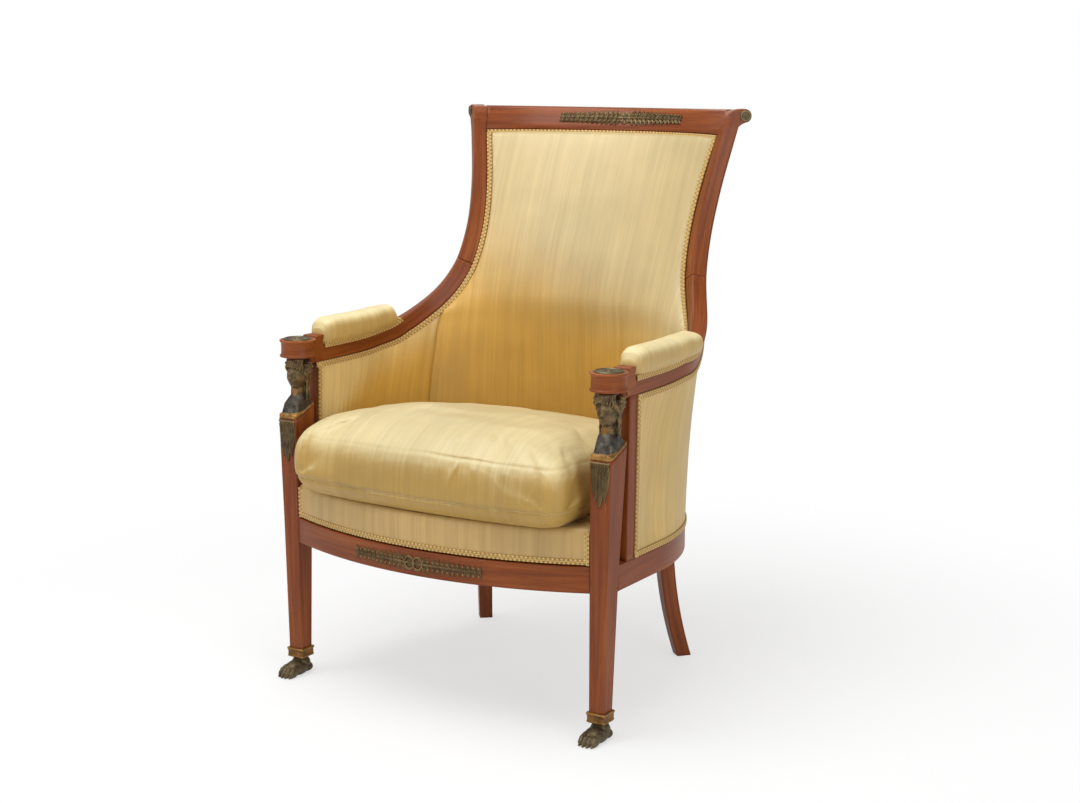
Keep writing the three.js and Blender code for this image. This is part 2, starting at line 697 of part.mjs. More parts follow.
const drumAndBlock = union(drumSolid(), armBlock());
const underDrum = block(0, everything, -everything, blockFront, 0, drumBottom);
const armTimber = cut(common(memberSweep(0), below(scarfHeight - fit / 2)), underDrum);
addPair('arm', cut(union(armTimber, drumAndBlock), postSpare, armPost(fit)), showWood);
const postTimber = common(memberSweep(0), above(scarfHeight + fit / 2));
addPair('back_post', union(sabreLeg(0), uprightSweep(0), postTimber, postScroll()), showWood);
addPair('arm_post', armPost(0), showWood);

// Crest rail: bowed like the wall, its top rolled over backwards
function crestRing(share, spare) {
  const middle = 1 - share;
  const drop = crestDip * Math.cos(middle * Math.PI / 2 / (1 - memberPathShares.at(-1)[0]));
  const at = (out, z) => wallPoint(share, z, out).add(V(0, 0, -drop * smooth(z, crestBottom, overallHeight)));
  const over = (out, z) => at(out, z).setZ(z - drop);
  const back = crestInset + crestThickness;
  const centre = crestInset + crestScrollSetBack;
  const top = overallHeight - crestDip / 2;
  const rollAt = (turn) => over(
    centre + (crestScrollRadius + spare) * Math.sin(turn),
    top - crestScrollRadius + (crestScrollRadius + spare) * Math.cos(turn),
  );
  const ring = [at(crestInset - spare, crestBottom - spare), at(crestInset - spare, top - crestScrollRadius)];
  ring.push(over(crestInset + memberEdge, top - memberEdge));
  for (let i = 0; i <= 6; i += 1) ring.push(rollAt(i * Math.PI / 6));
  ring.push(over(back + spare, top - 2 * crestScrollRadius - memberEdge));
  ring.push(at(back + spare, crestBottom - spare));
  return ring;
}
function crestSolid() {
  const rings = [];
  const steps = 16;
  const edge = mix(memberPathShares.at(-2)[0], memberPathShares.at(-3)[0], crestEndShare);
  for (let i = 0; i <= steps; i += 1) rings.push(crestRing(mix(edge, 2 - edge, i / steps), 0));
  return loft(rings);
}
const postTopSpare = union(common(memberSweep(fit), above(scarfHeight)), postScroll());
add('crest_rail', cut(crestSolid(), postTopSpare, mirrored(postTopSpare)), showWood());

// Corner blocks glued into the seat frame
const blockLow = railBottom + memberEdge;
const blockHigh = railTop - memberEdge;
function prism(points, z0, z1) {
  return loft([z0, z1].map((z) => points.map(([x, y]) => V(x, y, z))));
}
addPair('corner_block_front', (() => {
  const reach = 2 * legHead.width;
  const backFace = (x) => bowAt(x, wallThickness) + fit;
  const legBack = legFront + legHead.depth;
  const side = wallHalfWidth - fit;
  return prism([
    [legInner - reach, backFace(legInner - reach)], [legInner - fit, backFace(legInner - fit)],
    [legInner - fit, legBack], [side, legBack], [side, legBack + reach],
  ], blockLow, blockHigh);
})(), innerWood);
addPair('corner_block_rear', (() => {
  const shareOf = (k) => rearLegShare + k * cornerReachShare;
  const ring = (z) => [
    ...[-1, -0.5, 0, 0.5, 1].map((k) => levelPoint(shareOf(k), z, -2 * fit)),
    ...[0.5, -0.5].map((k) => levelPoint(shareOf(k), z, -legHead.width)),
  ];
  return loft([blockLow, blockHigh].map(ring));
})(), innerWood);

// Seat webbing: straps woven across the frame and tacked on top of the rails
const webLow = railTop + fit;
add('seat_webbing', (() => {
  const half = webWidth / 2;
  const middle = wallThickness / 2;
  const wallAt = (x) => {
    const angle = Math.acos(Math.abs(x) / wallHalfWidth);
    return wallPoint(angle / (Math.PI / 2), railTop, middle).y;
  };
  const lengthwise = webLengthwiseShares.map((share) => {
    const x = share * wallHalfWidth;
    const outer = Math.abs(x) + half;
    return block(x - half, x + half, bowAt(outer, middle), wallAt(outer), webLow, webLow + webThickness);
  });
  const crosswise = webCrosswiseShares.map((share) => {
    const y = share * wallReach;
    const halfRun = (edge) => wallPoint(shareAt(edge, railTop), railTop, middle).x;
    const x = Math.min(halfRun(y - half), halfRun(y + half));
    return block(-x, x, y - half, y + half, webLow, webLow + webThickness);
  });
  return union(...lengthwise, ...crosswise);
})(), jute());

// Seat platform: stuffed over the webbing, its border follows the bow of the rail
const deckSide = -(padCrown + cushionGap);
function deckOutline(inset) {
  const points = [];
  const corner = legInner - fit - inset;
  const steps = 12;
  for (let i = 0; i <= steps; i += 1) {
    const x = mix(-corner, corner, i / steps);
    points.push([x, bowAt(x, deckSetBack + inset)]);
  }
  const wing = armPostFront - fit - inset;
  const from = shareAt(wing, deckTop);
  const side = [];
  for (let i = 0; i <= steps; i += 1) {
    const p = wallPoint(mix(from, 1, i / steps), deckTop, deckSide - inset);
    side.push([p.x, p.y]);
  }
  points.push([corner, wing], ...side);
  points.push(...side.slice(0, -1).reverse().map(([x, y]) => [-x, y]), [-corner, wing]);
  return points;
}
add('seat_platform', loft([
  [webLow + webThickness + fit, 0],
  [deckTop - deckEase, 0],
  [deckTop - deckEase / 3, deckEase / 3],
  [deckTop, deckEase],
].map(([z, inset]) => deckOutline(inset).map(([x, y]) => V(x, y, z)))), silk());

// Loose cushion: a boxed feather cushion with a crowned top, its front bowed like the rail
const cushionHalfWidth = legInner - cushionLegGap;
function cushionOutline() {
  const front = bowFace - cushionOverhang;
  const points = [];
  const steps = 10;
  const flat = cushionHalfWidth - cushionCornerRadius;
  const bow = (x) => front + cushionFrontBow * (x / cushionHalfWidth) ** 2;
  for (let i = 0; i <= steps; i += 1) points.push([mix(0, flat, i / steps), bow(mix(0, flat, i / steps))]);
  const turn = bow(flat) + cushionCornerRadius;
  for (let i = 1; i <= steps / 2; i += 1) {
    const angle = i / (steps / 2) * Math.PI / 2;
    points.push([flat + cushionCornerRadius * Math.sin(angle), turn - cushionCornerRadius * Math.cos(angle)]);
  }
  const narrow = deckSide - cushionGap;
  const side = wallHalfWidth + narrow;
  points.push([cushionHalfWidth, armPostFront - cushionCornerRadius / 2]);
  points.push([side, armPostFront + cushionCornerRadius / 2]);
  const from = shareAt(armPostFront + cushionCornerRadius, deckTop);
  for (let i = 0; i <= steps; i += 1) {
    const p = wallPoint(mix(from, 1, i / steps), deckTop, narrow);
    points.push([p.x, p.y]);
  }
  return [...points, ...points.slice(1, -1).reverse().map(([x, y]) => [-x, y])];
}
add('seat_cushion', (() => {
  const outline = cushionOutline();
  const depths = outline.map(([, y]) => y);
  const [front, back] = [Math.min(...depths), Math.max(...depths)];
  const middle = (front + back) / 2;
  const fallFrom = mix(front, back, cushionFallShares.from);
  const fallTo = mix(front, back, cushionFallShares.to);
  return loft(cushionShares.map(([height, size]) => outline.map(([x, y]) => {
    const depth = middle + (y - middle) * size;
    const crown = cushionHeight - cushionFall * smooth(depth, fallFrom, fallTo);
    return V(x * size, depth, deckTop + fit + height * crown);
  })));
})(), silk());

// Padding of the inside back: its edges follow the seams below and the swept posts above
const padGap = gimpWidth + tackMargin;
const padBottom = railTop + padRise;
const gimpEdge = memberEdgeRows(padGap);
const padRows = raised(backPadShares);
const edgeStand = (z) => -readTable(padRows, z, 1) * wallThickness;
const backCrown = (z) => readTable(padRows, z, 2) * padCrown;
const seamHeight = edgeHeight(gimpEdge, seamShare);
function sideShare(z, seam, rows, seamTop) {
  return z < seamTop ? seam : Math.max(seam, edgeShare(rows, z));
}
function curtain(zs, startOf, nearOf, farOf, steps) {
  return loft(zs.map((z) => {
    const from = startOf(z);
    const near = [];
    const far = [];
    for (let i = 0; i <= steps; i += 1) {
      const run = (1 - Math.cos(Math.PI * i / steps)) / 2;
      const share = mix(from, 2 - from, run);
      near.push(wallPoint(share, z, nearOf(z, run)));
      far.unshift(wallPoint(share, z, farOf(z, run)));
    }
    return [...near, ...far];
  }), true);
}
function heights(low, high, steps) {
  const list = [];
  for (let i = 0; i <= steps; i += 1) list.push(mix(low, high, i / steps));
  return list;
}
const plump = (run) => 1 - Math.abs(2 * run - 1) ** 5;
const crestGimpTop = crestBottom - crestGimpDrop;
const padTop = crestGimpTop - padGap;
const seamShareGap = seamGap / (wallReach * Math.PI / 2);
add('inside_back_pad', curtain(
  [...heights(padBottom, seamHeight, 9).slice(0, -1), ...heights(seamHeight, padTop, 8)],
  (z) => sideShare(z, seamShare + seamShareGap, gimpEdge, seamHeight),
  (z, run) => edgeStand(z) - backCrown(z) * plump(run),
  (z) => Math.max(padBack, edgeStand(z) + padEdgeThickness),
  14,
), silk());

// Padding of the inside arms, from the arm post to the seam
function armPanel(from, to, rows, low, nearOf, farOf, columns, levels) {
  const rings = [];
  for (let i = 0; i <= columns; i += 1) {
    const run = i / columns;
    const topOver = (z) => edgeHeight(rows, mix(from(z), to, run));
    const top = topOver(topOver(blockBottom));
    const near = [];
    const far = [];
    for (let k = 0; k <= levels; k += 1) {
      const rise = k / levels;
      const z = mix(low, top, rise);
      const share = mix(from(z), to, run);
      near.push(wallPoint(share, z, nearOf(run, rise)));
      far.unshift(wallPoint(share, z, farOf(run, rise)));
    }
    rings.push([...near, ...far]);
  }
  return loft(rings, true);
}
addPair('inside_arm_pad', armPanel(
  (z) => shareAt(armPostFrontAt(z) + padGap, z), seamShare - seamShareGap, gimpEdge, padBottom,
  (run, rise) => -padBack / 3 - armCrown * plump(run) * plump(rise) * mix(1, 0.6, rise),
  () => memberEdge / 2 - fit,
  12, 8,
), silk);

// Cloth on the outside of arms and back
const panelFar = wallThickness - panelInset;
const panelNear = panelFar - panelThickness;
const railGap = railTop + padGap + tackMargin;
const outerGimpEdge = memberEdgeRows(padGap + tackMargin);
const outerSeamTop = edgeHeight(outerGimpEdge, outerSeamShare - seamShareGap);
addPair('outside_arm_panel', (() => {
  const sagEndShare = 1 - seamShare / 2;
  const sag = (run, rise) => panelSag * plump(rise) * Math.sin(Math.PI * Math.min(run / sagEndShare, 1));
  const from = (z) => shareAt(armPostFrontAt(z) + armPostDepth + padGap, z);
  return armPanel(
    from, outerSeamShare - seamShareGap, outerGimpEdge, railGap,
    (run, rise) => panelNear - sag(run, rise), (run, rise) => panelFar - sag(run, rise), 16, 5,
  );
})(), silk);
add('outside_back_panel', curtain(
  heights(railGap, padTop, 8),
  (z) => sideShare(z, outerSeamShare + seamShareGap, outerGimpEdge, outerSeamTop),
  () => panelNear, () => panelFar, 14,
), silk());

// Gimp braid over every tacked edge
const gimpHigh = -fit;
const gimpLow = gimpHigh - gimpWidth;
const gimpSpan = (nearOf) => ({ z }) => {
  const near = nearOf(z);
  return [-widthAt(z) / 2 + gimpLow, -widthAt(z) / 2 + gimpHigh, near, near + gimpThickness];
};
function wallStrip(from, to, z1, near, steps, pointOf) {
  return wallRail(from, to, steps, z1 - gimpWidth, z1, near, near + gimpThickness, pointOf);
}
function postStrip(front, z0, z1, near) {
  const ring = (z) => {
    const x0 = wallHalfWidth + near;
    const x1 = x0 + gimpThickness;
    const y = armPostFrontAt(z) + front;
    return [V(x0, y, z), V(x1, y, z), V(x1, y + gimpWidth, z), V(x0, y + gimpWidth, z)];
  };
  return loft([ring(z0), ring(z1)]);
}
// The member's stations from a depth y on, starting exactly there
function memberFrom(y) {
  const next = memberStations.findIndex(({ place }) => place.y > y);
  const [a, b] = [memberStations[next - 1], memberStations[next]];
  const t = (y - a.place.y) / (b.place.y - a.place.y);
  const start = { z: mix(a.z, b.z, t) };
  ['place', 'across', 'outwards'].forEach((key) => { start[key] = a[key].clone().lerp(b[key], t); });
  return [start, ...memberStations.slice(next)];
}
const crestEdge = edgeShare(memberEdgeRows(fit), padTop);
add('gimp_inside', (() => {
  const standing = (z) => edgeStand(z) - gimpThickness + padBack / 3;
  const sides = common(strip(memberFrom(armPostFront), gimpSpan(standing)), below(padTop + gimpWidth / 2));
  const under = edgeHeight(memberEdgeRows(fit), shareAt(armPostFront + gimpWidth, blockBottom));
  const post = postStrip(0, webLow + webThickness + fit, under, standing(railTop));
  const crest = wallStrip(crestEdge, 2 - crestEdge, crestGimpTop, standing(crestBottom - gimpWidth / 2), 20,
    wallPoint);
  return union(sides, mirrored(sides), post, mirrored(post), crest);
})(), braid());
addPair('gimp_outside', (() => {
  const near = panelNear + panelInset;
  const postBack = armPostFrontAt(blockBottom) + armPostDepth + fit;
  const sides = common(strip(memberFrom(postBack), gimpSpan(() => near)), below(padTop + gimpWidth / 2));
  const start = shareAt(armPostFront + armPostDepth, railTop);
  const middle = 1 - seamShareGap / 4;
  const low = wallStrip(start + seamShareGap / 2, middle, railTop + fit + gimpWidth, near, 14);
  const under = edgeHeight(memberEdgeRows(fit), shareAt(postBack + gimpWidth, blockBottom));
  const post = postStrip(armPostDepth + fit, railTop + fit, under, near);
  const crest = wallStrip(crestEdge, middle, crestGimpTop, near, 10, wallPoint);
  return union(sides, low, post, crest);
})(), braid);
add('gimp_front_border', (() => {
  const x = legInner - 2 * fit;
  const near = deckSetBack - fit - gimpThickness;
  const row = bowSweep(-x, x, 24, near, deckSetBack - fit, webLow, webLow + borderGimpHeight);
  const end = bowSweep(x - gimpWidth, x, 1, near, deckSetBack - fit, webLow, deckTop - deckEase);
  return union(row, end, mirrored(end));
})(), braid());

// Arm pads: stuffed rolls on the arm rails, tacked to the timber's sides
const fineStations = wallPath(memberRows, 10 * memberSteps);
const curveShare = (test) => fineStations.findIndex(test) / fineStations.length;
const padFrom = curveShare(({ place }) => place.y > armPadFront);
const padTo = curveShare(({ share }) => share > armPadEndShare);
const armPadPath = (from, to, steps) => wallPath(memberRows, steps, from, to);
function armPadShape() {
  const foot = Math.acos(armPadFoot / armPadWidth);
  const tall = armPadHeight / (1 + Math.sin(foot));
  const steps = 12;
  return loft(armPadPath(padFrom, padTo, 16).map((station) => {
    const size = readTable(armPadEndShares, station.run, 1);
    const rise = size * tall * mix(1, armPadRearShare, station.run);
    const corners = [];
    for (let i = 0; i <= steps; i += 1) {
      const angle = mix(-foot, Math.PI + foot, i / steps);
      corners.push([
        armWidth / 2 + 2 * fit + rise * (Math.sin(angle) + Math.sin(foot)),
        wallThickness / 2 + size * Math.cos(angle) * armPadWidth / 2,
      ]);
    }
    return ringOn(station.place, station.across, station.outwards, corners);
  }));
}
addPair('arm_pad', armPadShape(), silk);
addPair('gimp_arm_pad', (() => {
  const top = armWidth / 2 + memberEdge / 4;
  const inner = [top - gimpWidth, top, -fit - gimpThickness, -fit];
  const outer = [top - gimpWidth, top, wallThickness + fit, wallThickness + fit + gimpThickness];
  const rearShare = padTo + armPadGimpShares.gap / memberSteps;
  const endShare = rearShare + armPadGimpShares.width / memberSteps;
  const over = [armWidth / 2 + fit, armWidth / 2 + fit + gimpThickness, inner[2], outer[3]];
  const path = armPadPath(padFrom, endShare, 12);
  const end = armPadPath(rearShare, endShare, 1);
  return union(strip(path, () => inner), strip(path, () => outer), strip(end, () => over));
})(), braid);

// Bronze paw feet and their collars, which take the tapered ends of the front legs
const footX = legInner + legFoot.width / 2;
const footY = legFront + legFoot.depth / 2;
function ellipsoid(x, y, z, rx, ry, rz, around, up) {
  const ball = new THREE.SphereGeometry(1, around, up).rotateX(Math.PI / 2);
  return ball.scale(rx, ry, rz).translate(x, y, z);
}
addPair('foot_collar', (() => {
  const low = pawHeight + fit;
  const half = legFoot.width / 2 + collarWall + fit;
  const sleeve = (x, z0, z1) => block(footX - x, footX + x, footY - x - fit, footY + x + fit, z0, z1);
  const outer = sleeve(half, low, low + collarHeight);
  const rim = sleeve(half + collarWall / 2, low + collarHeight - collarWall, low + collarHeight);
  return cut(union(outer, rim), legSpare);
})(), gilt);
addPair('paw_foot', (() => {
  const middleY = pawBack - pawLength / 2;
  const toeY = pawBack - pawLength + toeRadius;
  const archSize = [pawWidth / 2 - toeRadius / 6, pawLength / 2 - toeRadius / 2, pawHeight / 2];
  const arch = ellipsoid(footX, middleY + toeRadius / 2, pawHeight / 3, ...archSize, 10, 6);
  const heelSize = [pawWidth / 2 - toeRadius / 4, pawWidth / 2, pawHeight * 2 / 3];
  const heel = ellipsoid(footX, footY, pawHeight / 2, ...heelSize, 10, 6);
  const toeSize = [toeRadius * toeShares.rise, toeRadius * toeShares.length, toeRadius];
  const toePitch = (pawWidth - 2 * toeRadius) / 3 * toeShares.spread;
  const toes = [-1.5, -0.5, 0.5, 1.5].map((k) => ellipsoid(
    footX + k * toePitch, toeY + Math.abs(k) * toeRadius / 3, toeRadius * toeShares.width, ...toeSize, 7, 5,
  ));
  const slab = block(-everything, everything, -everything, everything, 0, pawHeight);
  return common(union(arch, heel, ...toes), slab);
})(), bronze);

// Turned rosettes on the drums
const rosettePetals = 8;
addPair('drum_rosette', (() => {
  const around = 4 * rosettePetals;
  // Rows: share of the radius, share of the height between petals and on their ridges
  const reliefShares = [[1, 0.6, 0.6], [0.86, 0.6, 0.6], [0.8, 0.3, 0.3], [0.62, 0.25, 1], [0.26, 0.3, 1],
    [0.12, 1.6, 1.6]];
  const ring = (radius, low, high) => {
    const points = [];
    for (let i = 0; i < around; i += 1) {
      const angle = i / around * 2 * Math.PI;
      const ridge = (1 + Math.cos(rosettePetals * angle)) / 2;
      const r = radius * rosetteRadius;
      points.push(V(drumCentreX + r * Math.cos(angle), drumCentreY + r * Math.sin(angle),
        drumTop + fit + mix(low, high, ridge) * rosetteHeight));
    }
    return points;
  };
  return loft([ring(1, 0, 0), ...reliefShares.map((row) => ring(...row))]);
})(), bronze);

// Applied leaf mounts, drawn flat with u along, v up and w out of the face, then laid on the face
function leafShape(length, width) {
  const leaf = new THREE.Shape();
  leaf.moveTo(0, -mountStem / 4);
  leaf.quadraticCurveTo(length / 2, -width, length, 0);
  leaf.quadraticCurveTo(length / 2, width, 0, mountStem / 4);
  return leaf;
}
function leafAt(u, v, angle, length, width, layer) {
  const lift = layer * mountThickness / 8;
  const depth = mountThickness - lift;
  const thick = { depth, bevelEnabled: false, curveSegments: 3 };
  const flat = new THREE.ExtrudeGeometry(leafShape(length, width), thick);
  return flat.rotateZ(angle).translate(u, v, lift);
}
function laid(geometry, place) {
  const p = geometry.attributes.position;
  for (let i = 0; i < p.count; i += 1) p.setXYZ(i, ...place(p.getX(i), p.getY(i), p.getZ(i)).toArray());
  return geometry;
}
// A garland of overlapping leaves: its outline swells and narrows once for each leaf
function garland(place, reach, leaves, low, high) {
  const rings = [];
  const swellShares = [[0, 0.45], [0.3, 1], [0.75, 0.8]];
  const ringAt = (u, swell) => {
    const [v0, v1] = [low(u, swell), high(u, swell)];
    const section = [[v0, 0], [v1, 0], [v1, mountThickness], [v0, mountThickness]];
    rings.push(section.map(([v, w]) => place(u, v, w)));
  };
  for (let i = -leaves; i < leaves; i += 1) {
    const shares = i < 0 ? swellShares.map(([p, swell]) => [1 - p, swell]).reverse() : swellShares;
    shares.forEach(([p, swell]) => ringAt((i + p) / leaves * reach, swell));
  }
  ringAt(reach, swellShares[0][1]);
  return loft(rings);
}
function mountBoss(v) {
  const tall = mountThickness * mountBossShares.height;
  const faceRadius = mountRosetteRadius * mountBossShares.face;
  const boss = new THREE.CylinderGeometry(faceRadius, mountRosetteRadius, tall, 12);
  return boss.rotateX(Math.PI / 2).translate(0, v, tall / 2);
}
const crestMiddle = crestBottom + crestHeight / 2;
add('crest_mount', (() => {
  const place = (u, v, w) => wallPoint(
    1 + u / (wallHalfWidth * Math.PI / 2), crestMiddle + v, crestInset - fit - w,
  );
  const size = (u) => crestLeafWidth * (1 - crestLeafFallShare * Math.abs(u) / crestMountReach);
  const half = (u, swell) => swell * size(u);
  const leaves = garland(place, crestMountReach, 5, (u, swell) => -half(u, swell), half);
  return union(leaves, laid(mountBoss(0), place));
})(), bronze());
add('rail_mount', (() => {
  const place = (u, v, w) => V(u, bowAt(u, -fit - w), railMiddle + v);
  const foot = -railLeafLength / 2;
  const leaf = railLeafLength + railLeafRise;
  const tall = (u, swell) => foot + swell * leaf * (1 - railLeafFallShare * Math.abs(u) / railMountReach);
  const leaves = garland(place, railMountReach, 9, () => foot, tall);
  return union(leaves, laid(mountBoss(foot + mountRosetteRadius), place));
})(), bronze());
addPair('palmette', (() => {
  const middle = legInner + legHead.width / 2 - mountStem / 2;
  const palmetteTop = legHead.z - palmetteSetDown;
  const leaf = (u, v, angle, length, width) => laid(
    leafAt(u, v, angle, length, width, 1), (a, b, w) => V(middle + a, legFront - fit - w, palmetteTop + b),
  );
  const down = -Math.PI / 2;
  const leafWidth = palmetteWidth / 3;
  const centreLeaf = leaf(0, 0, down, palmetteDrop, leafWidth);
  const sideLength = palmetteDrop * palmetteSideShare;
  const sideLeaves = [-1, 1].map((k) => leaf(
    k * palmetteWidth / 4, -palmetteWidth / 6, down + k * palmetteSplay, sideLength, leafWidth,
  ));
  const [left, right] = [middle - palmetteWidth / 2, middle + palmetteWidth / 2];
  const face = legFront - fit;
  const cap = block(left, right, face - mountThickness, face, palmetteTop - palmetteWidth / 4, palmetteTop);
  return union(cap, centreLeaf, ...sideLeaves);
})(), bronze);

// Bronze busts: each stands on a front leg and carries the drum on a small disc
function ovalRing(x, y, rx, ry, power, zOf) {
  const points = [];
  const around = 12;
  for (let i = 0; i < around; i += 1) {
    const angle = (i + 0.5) * 2 * Math.PI / around;
    const soft = (value) => Math.sign(value) * Math.abs(value) ** power;
    const px = x + rx * soft(Math.cos(angle));
    const py = y + ry * soft(Math.sin(angle));
    points.push(V(px, py, zOf(py)));
  }
  return points;
}
const bustTop = drumBottom - fit;
const bustShoulder = mix(legHead.z, bustTop, bustShares.shoulder);
const headCentre = mix(legHead.z, bustTop, bustShares.head);
const headHalfHeight = bustHeight * bustShares.headHalfHeight;
addPair('bust', (() => {
  const baseX = legInner + legHead.width / 2;
  const baseY = legFront + legHead.depth / 2;
  const halfX = legHead.width / 2;
  const halfY = legHead.depth / 2;
  const slope = (y) => legHead.z + legHeadRise * (y - legFront) / legHead.depth;
  const headX = drumCentreX;
  const headY = drumCentreY;
  const atBase = (rx, ry, power, zOf) => ovalRing(baseX, baseY, rx, ry, power, zOf);
  const atHead = (rx, ry, power, z) => ovalRing(headX, headY, rx, ry, power, () => z);
  const { plinth, waist } = bustRiseShares;
  const square = bustSquareShares;
  const torso = loft([
    atBase(halfX, halfY, square.plinth, (y) => slope(y) + fit),
    atBase(halfX, halfY, square.plinth, (y) => slope(y) + plinth * (bustShoulder - legHead.z)),
    atBase(halfX - 1.5 * collarWall, halfY - 2 * collarWall, square.waist,
      (y) => mix(slope(y), bustShoulder, waist)),
    atHead(halfX - collarWall / 2, halfY - 3 * collarWall, square.shoulder, bustShoulder - neckRadius / 3),
    atHead(halfX - 3 * collarWall, halfY - 5 * collarWall, 1, bustShoulder + neckRadius / 3),
    atHead(neckRadius, neckRadius, 1, bustShoulder + neckRadius),
    atHead(neckRadius * neckTopShare, neckRadius, 1, headCentre - headHalfHeight / 2),
  ]);
  const skullY = headY - hairGrowth;
  const skull = ellipsoid(headX, skullY, headCentre, headHalfWidth, headHalfDepth, headHalfHeight, 9, 7);
  const grown = hairGrowth / 2;
  const hairSize = [headHalfWidth + hairGrowth, headHalfDepth + grown, headHalfHeight - grown];
  const hair = ellipsoid(headX, headY + hairGrowth, headCentre + 2 * hairGrowth, ...hairSize, 10, 7);
  const bunSize = [bunRadius, bunRadius, bunRadius * bunTallShare];
  const bun = (x) => ellipsoid(headX + x, headY, headCentre + hairGrowth, ...bunSize, 8, 6);
  const lockSize = [bunRadius / 2, bunRadius / 2, bunRadius * lockTallShare];
  const lock = (x) => ellipsoid(headX + x, headY, bustShoulder + bunRadius * 2, ...lockSize, 6, 6);
  const sides = [-1, 1].flatMap((side) => [
    bun(side * (headHalfWidth + hairGrowth)), lock(side * headHalfWidth),
  ]);
  const fringe = [];
  const curlWidth = hairGrowth * fringeShares.width;
  const curl = [curlWidth, curlWidth, headHalfHeight * fringeShares.tall];
  for (let i = 0; i < 5; i += 1) {
    const angle = mix(-1, 1, i / 4) * fringeShares.turn * Math.PI;
    const x = headX + Math.sin(angle) * headHalfWidth * fringeShares.across;
    const y = skullY - Math.cos(angle) * headHalfDepth * fringeShares.forward;
    fringe.push(ellipsoid(x, y, headCentre + headHalfHeight * fringeShares.rise, ...curl, 5, 4));
  }
  const noseSize = [
    headHalfWidth * noseShares.width, headHalfDepth * noseShares.depth, headHalfHeight * noseShares.tall,
  ];
  const noseZ = headCentre - headHalfHeight * noseShares.fall;
  const nose = ellipsoid(headX, skullY - headHalfDepth, noseZ, ...noseSize, 6, 5);
  const disc = new THREE.CylinderGeometry(bustDiscRadius, bustDiscRadius * discFootShare, bustDiscHeight, 12);
  disc.rotateX(Math.PI / 2).translate(headX, headY, bustTop - bustDiscHeight / 2);
  return union(torso, skull, hair, ...sides, ...fringe, nose, disc);
})(), bronze);

// The origin is on the floor under the middle of the chair
const extent = new THREE.Box3().setFromObject(chair);
const middleOfDepth = (extent.min.y + extent.max.y) / 2;
chair.children.forEach((mesh) => mesh.geometry.translate(0, -middleOfDepth, 0));

export default chair;
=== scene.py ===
import json
import math

import bpy
import numpy as np
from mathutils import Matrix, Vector
from mathutils.bvhtree import BVHTree

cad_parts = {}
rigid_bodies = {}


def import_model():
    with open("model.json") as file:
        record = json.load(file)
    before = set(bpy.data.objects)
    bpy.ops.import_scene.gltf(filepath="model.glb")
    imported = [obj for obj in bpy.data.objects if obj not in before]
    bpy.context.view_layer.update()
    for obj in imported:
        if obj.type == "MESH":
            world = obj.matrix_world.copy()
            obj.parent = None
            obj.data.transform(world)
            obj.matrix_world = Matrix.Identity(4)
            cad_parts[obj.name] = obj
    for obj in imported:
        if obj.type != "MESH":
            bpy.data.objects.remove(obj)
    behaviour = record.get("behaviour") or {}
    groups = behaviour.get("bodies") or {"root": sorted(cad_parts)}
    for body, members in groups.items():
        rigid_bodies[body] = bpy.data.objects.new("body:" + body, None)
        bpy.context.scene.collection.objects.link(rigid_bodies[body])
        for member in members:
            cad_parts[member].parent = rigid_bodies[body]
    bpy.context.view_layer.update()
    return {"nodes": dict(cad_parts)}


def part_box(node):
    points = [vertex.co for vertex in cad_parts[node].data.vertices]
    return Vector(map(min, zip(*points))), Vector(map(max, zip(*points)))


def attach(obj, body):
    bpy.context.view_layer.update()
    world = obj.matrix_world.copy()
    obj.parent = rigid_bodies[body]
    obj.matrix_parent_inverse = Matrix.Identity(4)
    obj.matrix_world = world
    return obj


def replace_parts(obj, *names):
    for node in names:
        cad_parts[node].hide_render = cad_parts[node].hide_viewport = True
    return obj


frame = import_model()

# The studio: a pale floor under a white sky, a large soft lamp above, weaker ones from the left and the
# right and a strip behind. The camera stands where the photograph was taken.
WORLD_LIGHT = 0.42


class Wire:
    """An output socket of a finish. Sums and products of wires and numbers add Math nodes."""

    def __init__(self, tree, socket):
        self.tree, self.socket = tree, socket

    def feed(self, target):
        self.tree.links.new(self.socket, target)

    def _math(self, operation, first, second):
        node = self.tree.nodes.new("ShaderNodeMath")
        node.operation = operation
        for value, target in zip((first, second), node.inputs):
            if isinstance(value, Wire):
                value.feed(target)
            else:
                target.default_value = value
        return Wire(self.tree, node.outputs[0])

    def __add__(self, other):
        return self._math("ADD", self, other)

    def __mul__(self, other):
        return self._math("MULTIPLY", self, other)

    def __sub__(self, other):
        return self._math("SUBTRACT", self, other)

    def __rsub__(self, other):
        return self._math("SUBTRACT", other, self)

    __radd__ = __add__
    __rmul__ = __mul__


